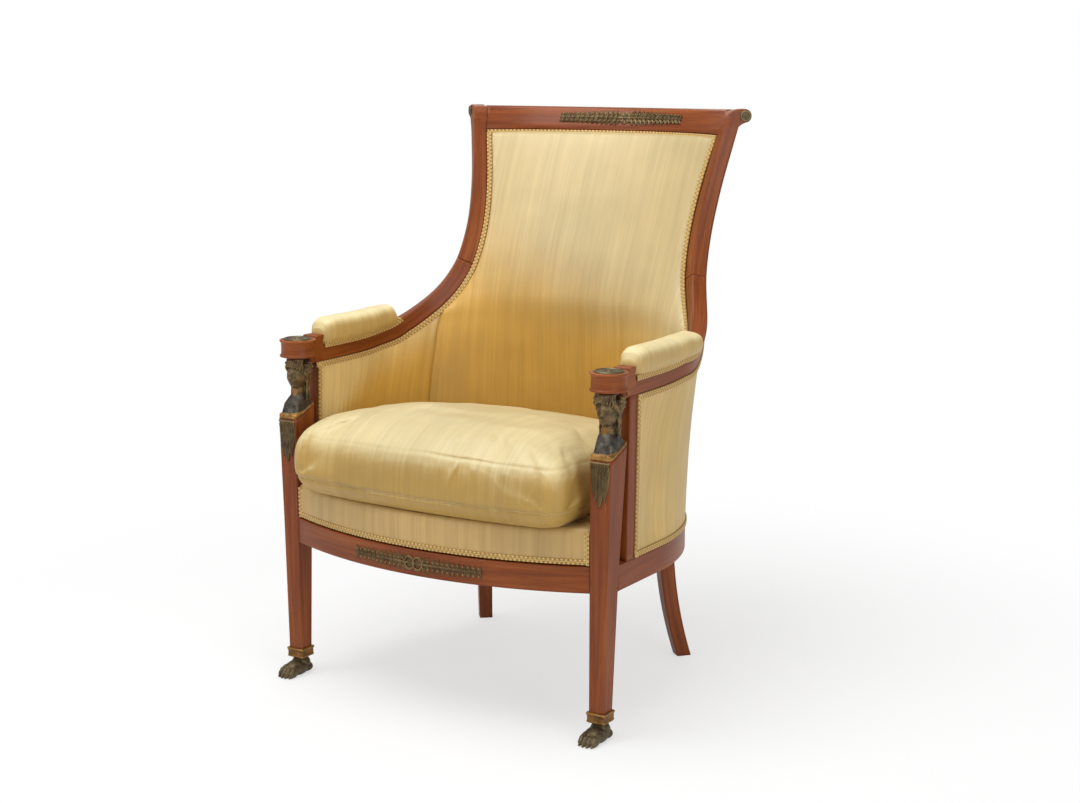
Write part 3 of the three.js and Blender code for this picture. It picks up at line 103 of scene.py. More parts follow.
class Finish:
    """A material built from expressions: node() adds any node, mix() blends colours."""

    def __init__(self, name):
        self.material = bpy.data.materials.new(name)
        self.material.use_nodes = True
        self.tree = self.material.node_tree
        self.tree.nodes.clear()

    def node(self, kind, settings=None, output=0, **sockets):
        node = self.tree.nodes.new("ShaderNode" + kind)
        for key, value in (settings or {}).items():
            if key == "stops":
                elements = node.color_ramp.elements
                while len(elements) < len(value):
                    elements.new(0.5)
                for element, (place, colour) in zip(elements, value):
                    element.position, element.color = place, colour
            else:
                setattr(node, key, value)
        for key, value in sockets.items():
            numbered = key[0] == "i" and key[1:].isdigit()
            target = node.inputs[int(key[1:]) if numbered else key.replace("_", " ")]
            if isinstance(value, Wire):
                value.feed(target)
            else:
                target.default_value = value
        return Wire(self.tree, node.outputs[output])

    def mix(self, share, first, second, blend_type="MIX"):
        settings = {"data_type": "RGBA", "blend_type": blend_type}
        return self.node("Mix", settings, 2, i0=share, i6=first, i7=second)

    def noise(self, at, scale, detail=3.0, roughness=0.5):
        return self.node("TexNoise", {}, 0, Vector=at, Scale=scale, Detail=detail, Roughness=roughness)

    def ramp(self, value, *stops):
        return self.node("ValToRGB", {"stops": stops}, 0, Fac=value)

    def stretch(self, at, *scale):
        return self.node("Mapping", {}, 0, Vector=at, Scale=scale)

    def objects(self):
        return self.node("TexCoord", {}, 3)

    def show(self, shader):
        shader.feed(self.tree.nodes.new("ShaderNodeOutputMaterial").inputs["Surface"])
        return self.material


def studio_floor():
    """White where the camera or a reflection looks at it. Some of the shade that falls near the chair
    stays; the floor is all white from 1.5 m away."""
    finish = Finish("studio_floor")
    plain = finish.node("BsdfDiffuse", {}, 0, Color=(0.86, 0.86, 0.86, 1))
    white = finish.node("Emission", {}, 0, Color=(1, 1, 1, 1), Strength=1.0)
    away = finish.node("VectorMath", {"operation": "LENGTH"}, 1, i0=finish.objects())
    far = finish.node("MapRange", {"interpolation_type": "SMOOTHSTEP"}, 0,
                      i0=away, i1=0.55, i2=1.5, i3=0.6, i4=1.0)
    seen = finish.node("LightPath", {}, 0) + finish.node("LightPath", {}, 3) * 0.5
    return finish.show(finish.node("MixShader", {}, 0, i0=seen * far, i1=plain, i2=white))


def studio():
    """The floor, and a world that is white to the camera and lights the chair at WORLD_LIGHT."""
    mesh = bpy.data.meshes.new("studio_floor")
    reach = 40.0
    corners = [(-reach, -reach, 0), (reach, -reach, 0), (reach, reach, 0), (-reach, reach, 0)]
    mesh.from_pydata(corners, [], [(0, 1, 2, 3)])
    mesh.materials.append(studio_floor())
    floor = bpy.data.objects.new("studio_floor", mesh)
    bpy.context.scene.collection.objects.link(floor)
    world = bpy.data.worlds.new("studio")
    bpy.context.scene.world = world
    world.use_nodes = True
    tree = world.node_tree
    background = tree.nodes["Background"]
    background.inputs["Color"].default_value = (1, 1, 1, 1)
    seen = tree.nodes.new("ShaderNodeLightPath")
    level = tree.nodes.new("ShaderNodeMix")
    tree.links.new(seen.outputs["Is Camera Ray"], level.inputs[0])
    level.inputs[2].default_value, level.inputs[3].default_value = WORLD_LIGHT, 1.0
    tree.links.new(level.outputs[0], background.inputs["Strength"])


def lamp(name, place, size, power):
    """A rectangular soft lamp that looks at the middle of the chair."""
    data = bpy.data.lights.new(name, "AREA")
    data.shape, data.size, data.size_y, data.energy = "RECTANGLE", size[0], size[1], power
    made = bpy.data.objects.new(name, data)
    bpy.context.scene.collection.objects.link(made)
    made.location = place
    aim = np.array([0, 0, 0.5]) - np.array(place)
    made.rotation_mode = "QUATERNION"
    made.rotation_quaternion = Vector(aim).to_track_quat("-Z", "Y")


EYE, LOOKED_AT = Vector((1.7533, -2.7317, 1.0955)), Vector((0.0586, -0.0559, 0.4986))


def camera():
    """The photograph's camera: 3.2 m away, 1.1 m up and 32 degrees round to the right."""
    data = bpy.data.cameras.new("camera")
    data.sensor_width, data.lens = 36.0, 61.45
    made = bpy.data.objects.new("camera", data)
    bpy.context.scene.collection.objects.link(made)
    made.location = EYE
    made.rotation_mode = "QUATERNION"
    made.rotation_quaternion = (LOOKED_AT - EYE).to_track_quat("-Z", "Y")
    bpy.context.scene.camera = made


studio()
lamp("softbox_above", (-0.3, -0.8, 3.1), (2.4, 2.2), 76)
lamp("softbox_left", (-2.1, -3.2, 1.9), (2.2, 1.8), 22)
lamp("softbox_right", (3.3, -1.6, 1.5), (1.8, 1.8), 34)
lamp("strip_behind", (-1.2, 2.6, 2.4), (2.0, 0.8), 10)
camera()
bpy.context.scene.view_settings.view_transform = "Standard"


# Seat rails: four mahogany rails tenoned into the legs. The front one bows forward, the others follow
# the gondola wall, whose plan is a straight side and half an ellipse that leans back with the height.
mm = 0.001
OVERALL, ARM, RAIL_TOP, RAIL_LOW = 1000 * mm, 574 * mm, 290 * mm, 246.5 * mm
WALL_HALF, WALL_REACH, WALL_THICK = 304 * mm, 322 * mm, 28 * mm
LEG_INNER, LEG_FRONT, BOW = 299 * mm, -233 * mm, 65 * mm
DRUM_X, DRUM_Y = LEG_INNER + 17 * mm, LEG_FRONT + 30 * mm
SHIFT = LEG_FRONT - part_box("front_leg_right")[0].y
WALL_SHARES = np.array([
    [-0.153, -0.186, 1], [0, -0.186, 1], [0.493, -0.134, 0.969], [0.951, 0.022, 0.814],
    [1.155, 0.186, 0.652], [1.343, 0.258, 0.637], [1.531, 0.332, 0.649], [1.718, 0.419, 0.658],
    [1.906, 0.522, 0.668], [2.047, 0.605, 0.676],
])


def height_at(level):
    """Level 0 is the rails' top, 1 the middle of the arm rail, 2 the top of the chair."""
    level = np.asarray(level, float)
    return np.where(level < 1, RAIL_TOP + (ARM - RAIL_TOP) * level, ARM + (OVERALL - ARM) * (level - 1))


def raised(rows):
    """A table whose first column, a level, is turned into a height."""
    rows = np.array(rows, float)
    return np.column_stack([height_at(rows[:, 0]), rows[:, 1:]])


def read_table(rows, key, column):
    """Cubic between the rows, each with the slope of the line that joins its two neighbours."""
    x, y = rows[:, 0], rows[:, column]
    ahead, behind = np.minimum(np.arange(len(x)) + 1, len(x) - 1), np.maximum(np.arange(len(x)) - 1, 0)
    slope = (y[ahead] - y[behind]) / (x[ahead] - x[behind])
    i = np.clip(np.searchsorted(x, key, side="right") - 1, 0, len(x) - 2)
    span = x[i + 1] - x[i]
    t = np.clip((key - x[i]) / span, 0, 1)
    return (y[i] * (2 * t**3 - 3 * t**2 + 1) + y[i + 1] * (3 * t**2 - 2 * t**3)
            + span * (slope[i] * (t**3 - 2 * t**2 + t) + slope[i + 1] * (t**3 - t**2)))


def unit(vectors):
    """Each vector over its own length."""
    return vectors / np.maximum(np.linalg.norm(vectors, axis=-1, keepdims=True), 1e-12)


WALL_ROWS = raised(WALL_SHARES)


def wall(share, z, out):
    """A point of the wall. share runs from -1 at the front over 0, where the curve starts, to 1 at the
    middle of the back and on to 3; out is measured outwards, square to the inner face:
    (W cos a, centre + depth sin a, z) + out * normal, with a = share * 90 degrees."""
    share, z, out = np.broadcast_arrays(*(np.asarray(v, float) for v in (share, z, out)))
    own = np.where(share > 1, 2 - share, share)
    angle = np.maximum(own, 0) * np.pi / 2

    def middle(height):
        return read_table(WALL_ROWS, height, 1) * WALL_REACH, read_table(WALL_ROWS, height, 2) * WALL_REACH

    (centre, depth), (next_centre, next_depth) = middle(z), middle(z + 0.3 * mm)
    y = centre + np.minimum(own, 0) * (centre - DRUM_Y) + depth * np.sin(angle)
    rise = (next_centre + next_depth * np.sin(angle) - centre - depth * np.sin(angle)) / (0.3 * mm)
    normal = unit(np.stack([np.cos(angle) / WALL_HALF, np.sin(angle) / depth, np.zeros_like(z)], -1))
    normal[..., 2] = -normal[..., 1] * rise
    point = np.stack([WALL_HALF * np.cos(angle), y, z], -1) + unit(normal) * out[..., None]
    point[..., 0] *= np.where(share > 1, -1, 1)
    return point


def share_at(y, z):
    """The share of the wall's right half at a depth y."""
    centre, depth = read_table(WALL_ROWS, z, 1) * WALL_REACH, read_table(WALL_ROWS, z, 2) * WALL_REACH
    ahead = np.asarray(y) - centre
    return np.where(ahead < 0, ahead / (centre - DRUM_Y), np.arcsin(np.clip(ahead / depth, 0, 1)) * 2 / np.pi)


def piece(name, grid, finish, nodes=(), body="frame", ends=True, uv=None, smooth=True):
    """A mesh from a grid of points, rows along the piece and columns round it. The columns close on
    themselves, and faces that look inwards are turned. The first and last rows close on their middles, or,
    where ends is "sewn", from each column of the face to the one behind it. The UV map runs in metres,
    along and round. Depths are taken from the chair's own zero to the frame's."""
    rows, columns = grid.shape[:2]
    along = np.concatenate([[0], np.cumsum(np.linalg.norm(np.diff(grid, axis=0), axis=-1).mean(1))])
    loop = np.concatenate([grid, grid[:, :1]], 1)
    across = np.concatenate([[0], np.cumsum(np.linalg.norm(np.diff(loop, axis=1), axis=-1).mean(0))])
    r = np.arange(rows - 1)[:, None]
    c = np.arange(columns)[None, :]
    after = (c + 1) % columns
    quads = np.stack([r * columns + c, r * columns + after,
                      (r + 1) * columns + after, (r + 1) * columns + c], -1)
    if uv is None:
        uv = np.stack(np.broadcast_arrays(along[:, None], across[None, :]), -1)
    corners = np.stack([uv[:-1, :-1], uv[:-1, 1:], uv[1:, 1:], uv[1:, :-1]], 2)
    points = grid.reshape(-1, 3)
    faces, places = quads.reshape(-1, 4), corners.reshape(-1, 2)
    caps, cap_places = np.zeros((0, 3), int), np.zeros((0, 2))
    if ends == "sewn":
        i = np.arange(columns // 2 - 1)
        front = np.stack([i + 1, i, columns - 1 - i, columns - 2 - i], -1)
        behind = front[:, ::-1]
        faces = np.concatenate([faces, front, behind + (rows - 1) * columns])
        places = np.concatenate([places, uv[0][front].reshape(-1, 2), uv[-1][behind].reshape(-1, 2)])
    elif ends:
        middles = np.stack([grid[0].mean(0), grid[-1].mean(0)])
        ring = np.arange(columns)
        turn = (ring + 1) % columns
        low = np.stack([turn, ring, np.full(columns, len(points))], -1)
        high = np.stack([ring, turn, np.full(columns, len(points) + 1)], -1)
        high = high + [[(rows - 1) * columns] * 2 + [0]]
        caps = np.concatenate([low, high])
        points = np.concatenate([points, middles])
        cap_places = points[caps.ravel()][:, [2, 0]]
    corner = [points[faces[:, k]] for k in range(4)]
    volume = (corner[0] * np.cross(corner[1], corner[2]) + corner[0] * np.cross(corner[2], corner[3])).sum()
    if len(caps):
        volume += (points[caps[:, 0]] * np.cross(points[caps[:, 1]], points[caps[:, 2]])).sum()
    if volume < 0:
        faces, places = faces[:, ::-1], places.reshape(-1, 4, 2)[:, ::-1].reshape(-1, 2)
        caps, cap_places = caps[:, ::-1], cap_places.reshape(-1, 3, 2)[:, ::-1].reshape(-1, 2)
    mesh = bpy.data.meshes.new(name)
    mesh.from_pydata((points - [0, SHIFT, 0]).tolist(), [], faces.tolist() + caps.tolist())
    mesh.uv_layers.new(name="along").data.foreach_set("uv", np.concatenate([places, cap_places]).ravel())
    mesh.polygons.foreach_set("use_smooth", np.full(len(mesh.polygons), smooth))
    mesh.materials.append(finish)
    made = bpy.data.objects.new(name, mesh)
    bpy.context.scene.collection.objects.link(made)
    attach(made, body)
    if nodes:
        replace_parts(made, *nodes)
    return made


def mirror(grid):
    """The same grid on the chair's other side."""
    return grid * [-1, 1, 1]


SIDES = (("right", lambda grid: grid), ("left", mirror))


def pair(name, grid, finish):
    """The right piece and its mirror image; each stands for the CAD node of its own name."""
    for side, turn in SIDES:
        piece(f"{name}_{side}_shown", turn(grid), finish, (f"{name}_{side}",))


def eased(low, high, near, far, edge):
    """Section of a timber with rounded corners, as columns of (w, n): each corner is a quarter circle of
    radius edge, with a point just before and after it that keeps the faces flat."""
    low, high, near, far, edge = np.broadcast_arrays(
        *(np.asarray(value, float) for value in (low, high, near, far, edge)))
    section = []
    for w, n, start in ((high, far, 0), (low, far, 1), (low, near, 2), (high, near, 3)):
        middle_w = w - edge * np.sign(w - (low + high) / 2)
        middle_n = n - edge * np.sign(n - (near + far) / 2)
        turns = (start + np.linspace(0, 1, 5)) * np.pi / 2
        first = np.stack([middle_w + edge * np.cos(turns[0]), middle_n + edge * np.sin(turns[0])], -1)
        last = np.stack([middle_w + edge * np.cos(turns[-1]), middle_n + edge * np.sin(turns[-1])], -1)
        before = np.array([np.sin(turns[0]), -np.cos(turns[0])])
        after = np.array([-np.sin(turns[-1]), np.cos(turns[-1])])
        section.append(first + before * 0.6 * edge[..., None])
        section += [np.stack([middle_w + edge * np.cos(t), middle_n + edge * np.sin(t)], -1) for t in turns]
        section.append(last + after * 0.6 * edge[..., None])
    return np.stack(section, -2)


def hue(red, green, blue):
    """A colour given as it looks on a screen, 0 to 255, turned into the linear values Blender takes."""
    share = np.array([red, green, blue]) / 255
    linear = np.where(share <= 0.04045, share / 12.92, ((share + 0.055) / 1.055) ** 2.4)
    return (*linear.tolist(), 1.0)


def mahogany():
    """Reddish-brown timber with fine grain along the piece, darker veins and a French-polished coat."""
    finish = Finish("mahogany")
    along = finish.node("UVMap", {"uv_map": "along"})
    streaks = finish.noise(finish.stretch(along, 5, 130, 1), 1, 4, 0.62)
    bands = finish.noise(finish.stretch(along, 1.6, 26, 1), 1, 3, 0.55)
    pores = finish.ramp(finish.noise(finish.stretch(along, 46, 900, 1), 1, 2),
                        (0.3, (0, 0, 0, 1)), (0.42, (1, 1, 1, 1)))
    wood = finish.ramp(streaks * 0.55 + bands * 0.45, (0.3, hue(96, 44, 14)), (0.47, hue(127, 64, 24)),
                       (0.58, hue(147, 80, 33)), (0.72, hue(176, 106, 50)))
    wood = finish.mix((1 - pores) * 0.35, wood, hue(58, 24, 11))
    large = finish.noise(finish.objects(), 5.5, 2)
    wood = finish.mix(large * 0.55, wood, finish.mix(1.0, wood, hue(212, 172, 140), "MULTIPLY"))
    rough = 0.26 + streaks * 0.16 + large * 0.1
    bump = finish.node("Bump", {}, 0, Strength=0.12, Distance=0.0004, Height=streaks + pores * 0.4)
    return finish.show(finish.node(
        "BsdfPrincipled", {}, 0, Base_Color=wood, Roughness=rough, Normal=bump,
        Coat_Weight=0.06, Coat_Roughness=0.14, Specular_IOR_Level=0.24,
    ))


MAHOGANY = mahogany()
BOW_RADIUS = (LEG_INNER**2 + BOW**2) / (2 * BOW)


def bow(x, back, z):
    """A point of the front rail's bow: back is measured square to its face, into the seat."""
    x, back, z = np.broadcast_arrays(*(np.asarray(v, float) for v in (x, back, z)))
    radius = BOW_RADIUS - back
    return np.stack([x, LEG_FRONT - BOW + BOW_RADIUS - np.sqrt(radius**2 - x**2), z], -1)


def level_wall(share, z, out):
    """As wall, but with the section standing upright, as the seat rails are."""
    inner, outer = wall(share, z, 0), wall(share, z, WALL_THICK)
    across = (outer - inner) * [1, 1, 0]
    return inner + unit(across) * np.asarray(out)[..., None]


def rail(point, run, low, high, near, far, edge=1.6 * mm):
    """A rail: the eased section, with w as height and n as depth, at each step of the run."""
    section = eased(low, high, near, far, edge)
    return point(run[:, None], section[None, :, 0], section[None, :, 1])


REAR_LEG, LEG_HALF = 0.572, 0.0305          # the rear leg's place and half its width, as shares of the wall
piece("front_rail_shown", rail(lambda x, z, n: bow(x, n, z), np.linspace(-LEG_INNER, LEG_INNER, 90),
                               RAIL_LOW, RAIL_TOP, 0, WALL_THICK), MAHOGANY, ("front_rail",))
side_run = np.linspace(share_at(-196.5 * mm, RAIL_LOW), REAR_LEG - LEG_HALF, 90)
pair("side_rail", rail(level_wall, side_run, RAIL_LOW, RAIL_TOP, 0, WALL_THICK), MAHOGANY)
piece("rear_rail_shown", rail(level_wall, np.linspace(REAR_LEG + LEG_HALF, 2 - REAR_LEG - LEG_HALF, 90),
                              RAIL_LOW, RAIL_TOP, 0, WALL_THICK), MAHOGANY, ("rear_rail",))


# Front legs: square mahogany posts, tapered to the bronze feet and left thick where the rails are
# tenoned in. Their sloping heads carry the busts.
def front_leg():
    """Three levels, foot, rail and head, joined straight; the section is square with eased corners."""
    levels = np.array([[40, 28, 29, 0], [290, 33.5, 39, 0], [466, 39, 52, 22]]) * mm
    steps = np.concatenate([np.linspace(0, 1, 24), np.linspace(1, 2, 24)[1:]])
    low = [np.interp(steps, [0, 1, 2], levels[:, k]) for k in range(4)]
    section = eased(LEG_INNER, LEG_INNER + low[1], LEG_FRONT, LEG_FRONT + low[2], 2.2 * mm)
    tilt = low[3][:, None] * (section[..., 1] - LEG_FRONT) / low[2][:, None]
    return np.concatenate([section, (low[0][:, None] + tilt)[..., None]], -1)


pair("front_leg", front_leg(), MAHOGANY)


# Arms and back posts: one swooping timber from the drum over the arm and up the back, scarfed at 708 mm.
# The back post's own timber goes on below, hidden in the wall, and comes out as the sabre leg.
MEMBER_SHARES = [
    [-1, 1], [-0.6, 1], [-0.2, 1.004], [0.06, 1.021], [0.16, 1.056], [0.25, 1.108], [0.33, 1.171],
    [0.39, 1.249], [0.428, 1.347], [0.441, 1.507], [0.418, 1.692], [0.372, 1.871], [0.35, 1.941],
]
SCARF = height_at(1.315)
ARM_WIDTH, POST_WIDTH, POST_TOP_WIDTH = 30 * mm, 31 * mm, 25 * mm
DRUM_LOW, DRUM_HIGH = ARM + 0.3 * mm, ARM + 30.6 * mm
BLOCK_TOP, BLOCK_LOW = DRUM_HIGH - 4.6 * mm, DRUM_HIGH - 42.6 * mm
SCROLL_RADIUS, SCROLL_BACK = 12 * mm, 37 * mm


def smooth_step(value, low, high):
    """0 up to low, 1 from high on, and 3 t^2 - 2 t^3 between them."""
    t = np.clip((np.asarray(value, float) - low) / (high - low), 0, 1)
    return t * t * (3 - 2 * t)


def wall_path(rows, run):
    """Stations on the wall at the shares run of a spline through rows of (share, height): their place,
    the direction across the timber in the wall's face, the direction outwards, share and height."""
    rows = np.asarray(rows, float)
    last = len(rows) - 1
    place = np.asarray(run) * last
    i = np.minimum(place.astype(int), last - 1)
    t = (place - i)[:, None]
    p0, p1, p2, p3 = (rows[np.clip(i + k, 0, last)] for k in (-1, 0, 1, 2))
    v0, v1 = (p2 - p0) / 2, (p3 - p1) / 2
    share, z = ((2 * p1 - 2 * p2 + v0 + v1) * t**3 + (-3 * p1 + 3 * p2 - 2 * v0 - v1) * t**2 + v0 * t + p1).T
    points = wall(share, z, 0)
    along = unit(np.gradient(points, axis=0))
    outwards = unit(wall(share, z, WALL_THICK) - points)
    return {"place": points, "across": unit(np.cross(outwards, along)), "outwards": outwards,
            "share": share, "z": z}


def width_at(z):
    """The timber's width: the arm's at first, the post's by the scarf, narrower at the scroll."""
    arm = ARM_WIDTH + (POST_WIDTH - ARM_WIDTH) * smooth_step(z, BLOCK_TOP, SCARF)
    taper = smooth_step(z, SCARF + SCROLL_RADIUS, OVERALL - SCROLL_RADIUS)
    return np.where(z < SCARF, arm, POST_WIDTH + (POST_TOP_WIDTH - POST_WIDTH) * taper)


MEMBER = [[share, float(height_at(level))] for share, level in MEMBER_SHARES]
fine = wall_path(MEMBER, np.linspace(0, 1, 700))
split = np.searchsorted(fine["z"], SCARF)


def picked(stations, chosen):
    """Some of a path's stations."""
    return {key: value[chosen] for key, value in stations.items()}


def carried(place, across, outwards, section):
    """The section's points (w, n) carried along a path: place + w * across + n * outwards."""
    w, n = section[..., 0, None], section[..., 1, None]
    return place[:, None] + w * across[:, None] + n * outwards[:, None]


def timber(stations):
    """The swooping timber: an eased rectangle, as wide as width_at says, through the wall's thickness."""
    half = width_at(stations["z"]) / 2
    return carried(stations["place"], stations["across"], stations["outwards"],
                   eased(-half, half, 0, WALL_THICK, 3 * mm))


front_end = np.searchsorted(fine["place"][:, 1], DRUM_Y + 20 * mm)
arm_stations = picked(fine, np.unique(np.linspace(front_end, split, 120).astype(int)))
post_stations = picked(fine, np.unique(np.linspace(split + 1, 699, 110).astype(int)))
pair("arm", timber(arm_stations), MAHOGANY)
post_grid = timber(post_stations)


def post_scroll():
    """The post's head: its side profile of (forward, height), with the face rolling over backwards into a
    round scroll, carried across the post's width with eased edges. Below the scroll it is shifted sideways
    to meet the post."""
    top = {key: value[-1] for key, value in fine.items()}
    centre_z = OVERALL - SCROLL_RADIUS
    place = wall(top["share"], centre_z, SCROLL_BACK)
    place[2] = centre_z
    axis = unit(top["across"] * [1, 1, 0])
    forward = np.array([axis[1], -axis[0], 0])
    forward = -forward if forward[1] > 0 else forward
    low_z = top["z"] - SCROLL_RADIUS
    low_front = (wall(top["share"], low_z, 0) - place) @ forward
    low_back = (wall(top["share"], low_z, WALL_THICK) - place) @ forward
    face_z = OVERALL - SCROLL_RADIUS - 6 * mm
    face = (wall(top["share"], face_z, 0) - place) @ forward
    t = np.linspace(0, 1, 14)[:, None]
    start, corner = np.array([face, face_z - centre_z]), np.array([face - 5 * mm, SCROLL_RADIUS])
    end = np.array([0, SCROLL_RADIUS])
    over = (1 - t)**2 * start + 2 * t * (1 - t) * corner + t**2 * end
    turn = np.linspace(np.pi / 2, np.pi * 1.36, 18)[1:, None]
    roll = SCROLL_RADIUS * np.concatenate([np.cos(turn), np.sin(turn)], 1)
    foot = np.array([low_back, low_z - centre_z])
    bend = foot + [(foot[0] - roll[-1, 0]) * -0.25, (roll[-1, 1] - foot[1]) * 0.75]
    hollow = (1 - t[1:])**2 * roll[-1] + 2 * t[1:] * (1 - t[1:]) * bend + t[1:]**2 * foot
    outline = np.concatenate([[[low_front, low_z - centre_z]], over, roll, hollow])
    middle = outline.mean(0)
    half = POST_TOP_WIDTH / 2
    below = np.searchsorted(fine["z"], low_z)
    aside = (fine["place"][below] + WALL_THICK / 2 * fine["outwards"][below] - place) @ axis
    aside = aside * (1 - smooth_step(outline[:, 1], low_z - centre_z, 0))
    spread = [(-half, 0.93), (-half + 1.5 * mm, 1), (half - 1.5 * mm, 1), (half, 0.93)]
    plane = np.stack([forward, [0, 0, 1]])
    rows = [place + (w + aside)[:, None] * axis + (middle + (outline - middle) * s) @ plane
            for w, s in spread]
    return np.stack(rows), place, axis


def sabre_leg():
    """The rear leg: from the rail it sweeps out and back with the square of its fall, and tapers."""
    above = wall_path([[REAR_LEG, RAIL_TOP], [0.553, RAIL_TOP + 90 * mm]], np.array([0.0, 0.1, 0.2]))
    outwards = unit(above["outwards"][0] * [1, 1, 0])
    across = np.array([outwards[1], -outwards[0], 0])
    z = np.concatenate([np.linspace(RAIL_TOP, RAIL_LOW, 6), np.linspace(RAIL_LOW, 0, 40)[1:]])
    fall = np.clip((RAIL_LOW - z) / RAIL_LOW, 0, 1)
    place = wall(REAR_LEG, RAIL_LOW, 0) * [1, 1, 0] + z[:, None] * [0, 0, 1]
    place = place + (fall**2)[:, None] * [22 * mm, 36 * mm, 0]
    half = (30 - 5 * fall) * mm / 2
    return carried(place, np.tile(across, (len(z), 1)), np.tile(outwards, (len(z), 1)),
                   eased(-half, half, 0, (28 - fall) * mm, 2.5 * mm))


scroll_grid, scroll_place, scroll_axis = post_scroll()
for side, turn in SIDES:
    piece(f"back_post_{side}_shown", turn(post_grid), MAHOGANY, (f"back_post_{side}",))
    piece(f"post_head_{side}", turn(scroll_grid), MAHOGANY, smooth=False)
    piece(f"sabre_leg_{side}", turn(sabre_leg()), MAHOGANY)


# Arm fronts: a turned mahogany drum on the bust's head, glued to a square block at the end of the arm
# rail, and a square post that stands on the side rail below the block.


def turned(place, axis, profile, around=40):
    """A turned shape: the profile's rows (distance along the axis, radius) carried round the axis."""
    profile = np.asarray(profile, float)
    side = unit(np.cross(axis, [0.31, 0.17, 0.93] if abs(axis[2]) < 0.9 else [1, 0, 0]))
    other = np.cross(axis, side)
    angle = np.arange(around) * 2 * np.pi / around
    ring = np.cos(angle)[:, None] * side + np.sin(angle)[:, None] * other
    return place + profile[:, 0, None, None] * axis + profile[:, 1, None, None] * ring[None]


def rounded(rows, edge):
    """The profile with each corner between its ends rounded by a parabola that starts at most edge from the
    corner and has the corner as its control point."""
    rows = np.asarray(rows, float)
    made = [rows[:1]]
    for before, corner, after in zip(rows[:-2], rows[1:-1], rows[2:]):
        reach_in, reach_out = (min(edge, np.linalg.norm(p - corner) * 0.45) for p in (before, after))
        start, end = corner + unit(before - corner) * reach_in, corner + unit(after - corner) * reach_out
        t = np.linspace(0, 1, 4)[:, None]
        made.append((1 - t)**2 * start + 2 * t * (1 - t) * corner + t**2 * end)
    return np.concatenate([*made, rows[-1:]])


drum_profile = rounded(np.array([
    [0, 28], [0, 31.5], [3.6, 31.5], [4.6, 29.3], [12, 28.9], [19, 28.9], [25.6, 29.3], [26.6, 31.5],
    [30.3, 31.5], [30.3, 28],
]) * mm, 1.3 * mm)
drum = turned(np.array([DRUM_X, DRUM_Y, DRUM_LOW]), np.array([0.0, 0, 1]), drum_profile, 72)
drum_map = np.stack(np.broadcast_arrays(np.linspace(0, 0.19, 73)[None], drum_profile.sum(1)[:, None]), -1)


def arm_block():
    """The block's side outline of (y, z), from the drum to the arm rail, carried across with eased edges."""
    front, back = DRUM_Y + 27 * mm, DRUM_Y + 53 * mm
    outline = rounded(np.array([
        [DRUM_Y, DRUM_LOW], [front, DRUM_LOW], [front, BLOCK_LOW], [back - 12 * mm, BLOCK_LOW],
        [back + 3 * mm, BLOCK_LOW + 15 * mm], [back, BLOCK_TOP], [back + 4 * mm, BLOCK_TOP + 2 * mm],
        [back + 4 * mm, BLOCK_TOP + 7 * mm], [back - 17 * mm, BLOCK_TOP + 7 * mm],
        [back - 20 * mm, BLOCK_TOP], [DRUM_Y, BLOCK_TOP],
    ]), 2.2 * mm)
    middle = outline.mean(0)
    rows = []
    for x, s in ((302.5, 0.95), (303.7, 0.99), (304.9, 1), (331.1, 1), (332.3, 0.99), (333.5, 0.95)):
        y, z = (middle + (outline - middle) * s).T
        rows.append(np.stack([np.full_like(y, x * mm), y, z], -1))
    return np.stack(rows)


for side, turn in SIDES:
    piece(f"arm_drum_{side}", turn(drum), MAHOGANY, uv=drum_map)
    piece(f"arm_block_{side}", turn(arm_block()), MAHOGANY, smooth=False)


def arm_post():
    """A square post from the side rail to the block, leaning back by 7 mm."""
    z = np.linspace(RAIL_TOP + 0.3 * mm, BLOCK_LOW - 0.3 * mm, 30)
    lean = DRUM_Y + 33 * mm + 7 * mm * (z - RAIL_TOP) / (BLOCK_LOW - RAIL_TOP)
    section = eased(WALL_HALF + 1.5 * mm, WALL_HALF + WALL_THICK, lean, lean + 24 * mm, 2 * mm)
    return np.concatenate([section, np.broadcast_to(z[:, None, None], (*section.shape[:2], 1))], -1)


pair("arm_post", arm_post(), MAHOGANY)


# Crest rail: one piece of mahogany, bowed like the back and tenoned between the posts. Its top rolls over
# backwards between the posts' scrolls.
CREST_LOW = OVERALL - 45 * mm


def crest():
    """The section stands on the raked wall: face, rolled top of radius 10.5 mm, back; the top sinks by up
    to 3 mm towards the middle with the cosine of the way along."""
    post_side = 0.381
    share = np.linspace(post_side, 2 - post_side, 120)[:, None]
    drop = 3 * mm * np.cos((1 - share) * np.pi / 2 / (1 - 0.35))
    radius, near, back, centre, top = 10.5 * mm, 3 * mm, 24 * mm, 25 * mm, OVERALL - 1.5 * mm

    def at(out, z):
        return wall(share, z, out) - (drop * smooth_step(z, CREST_LOW, OVERALL))[..., None] * [0, 0, 1]

    def over(out, z):
        point = at(out, z)
        point[..., 2] = z - drop
        return point

    face = at(np.full(5, near)[None], np.array([[0, 1.5, 12, 24, 33]]) * mm + CREST_LOW)
    face[:, 0] += (at(near + 1.5 * mm, CREST_LOW) - at(near, CREST_LOW))[:, 0] * 0.6
    lip_turn = np.linspace(0, np.pi / 2, 6)[None]
    lip = over(near + 5 * mm - 5 * mm * np.cos(lip_turn), top - 5 * mm + 5 * mm * np.sin(lip_turn))
    turn = np.linspace(0, np.pi, 16)[None]
    roll = over(centre + radius * np.sin(turn), top - radius + radius * np.cos(turn))
    under = np.concatenate([over(np.full((1, 1), back), np.full((1, 1), top - 2 * radius - 3 * mm)),
                            at(np.full((1, 2), back), CREST_LOW + np.array([[2, 0]]) * mm),
                            at(np.full((1, 1), back - 1.5 * mm), np.full((1, 1), CREST_LOW))], 1)
    return np.concatenate([face, lip, roll, under], 1)


piece("crest_rail_shown", crest(), MAHOGANY, ("crest_rail",))


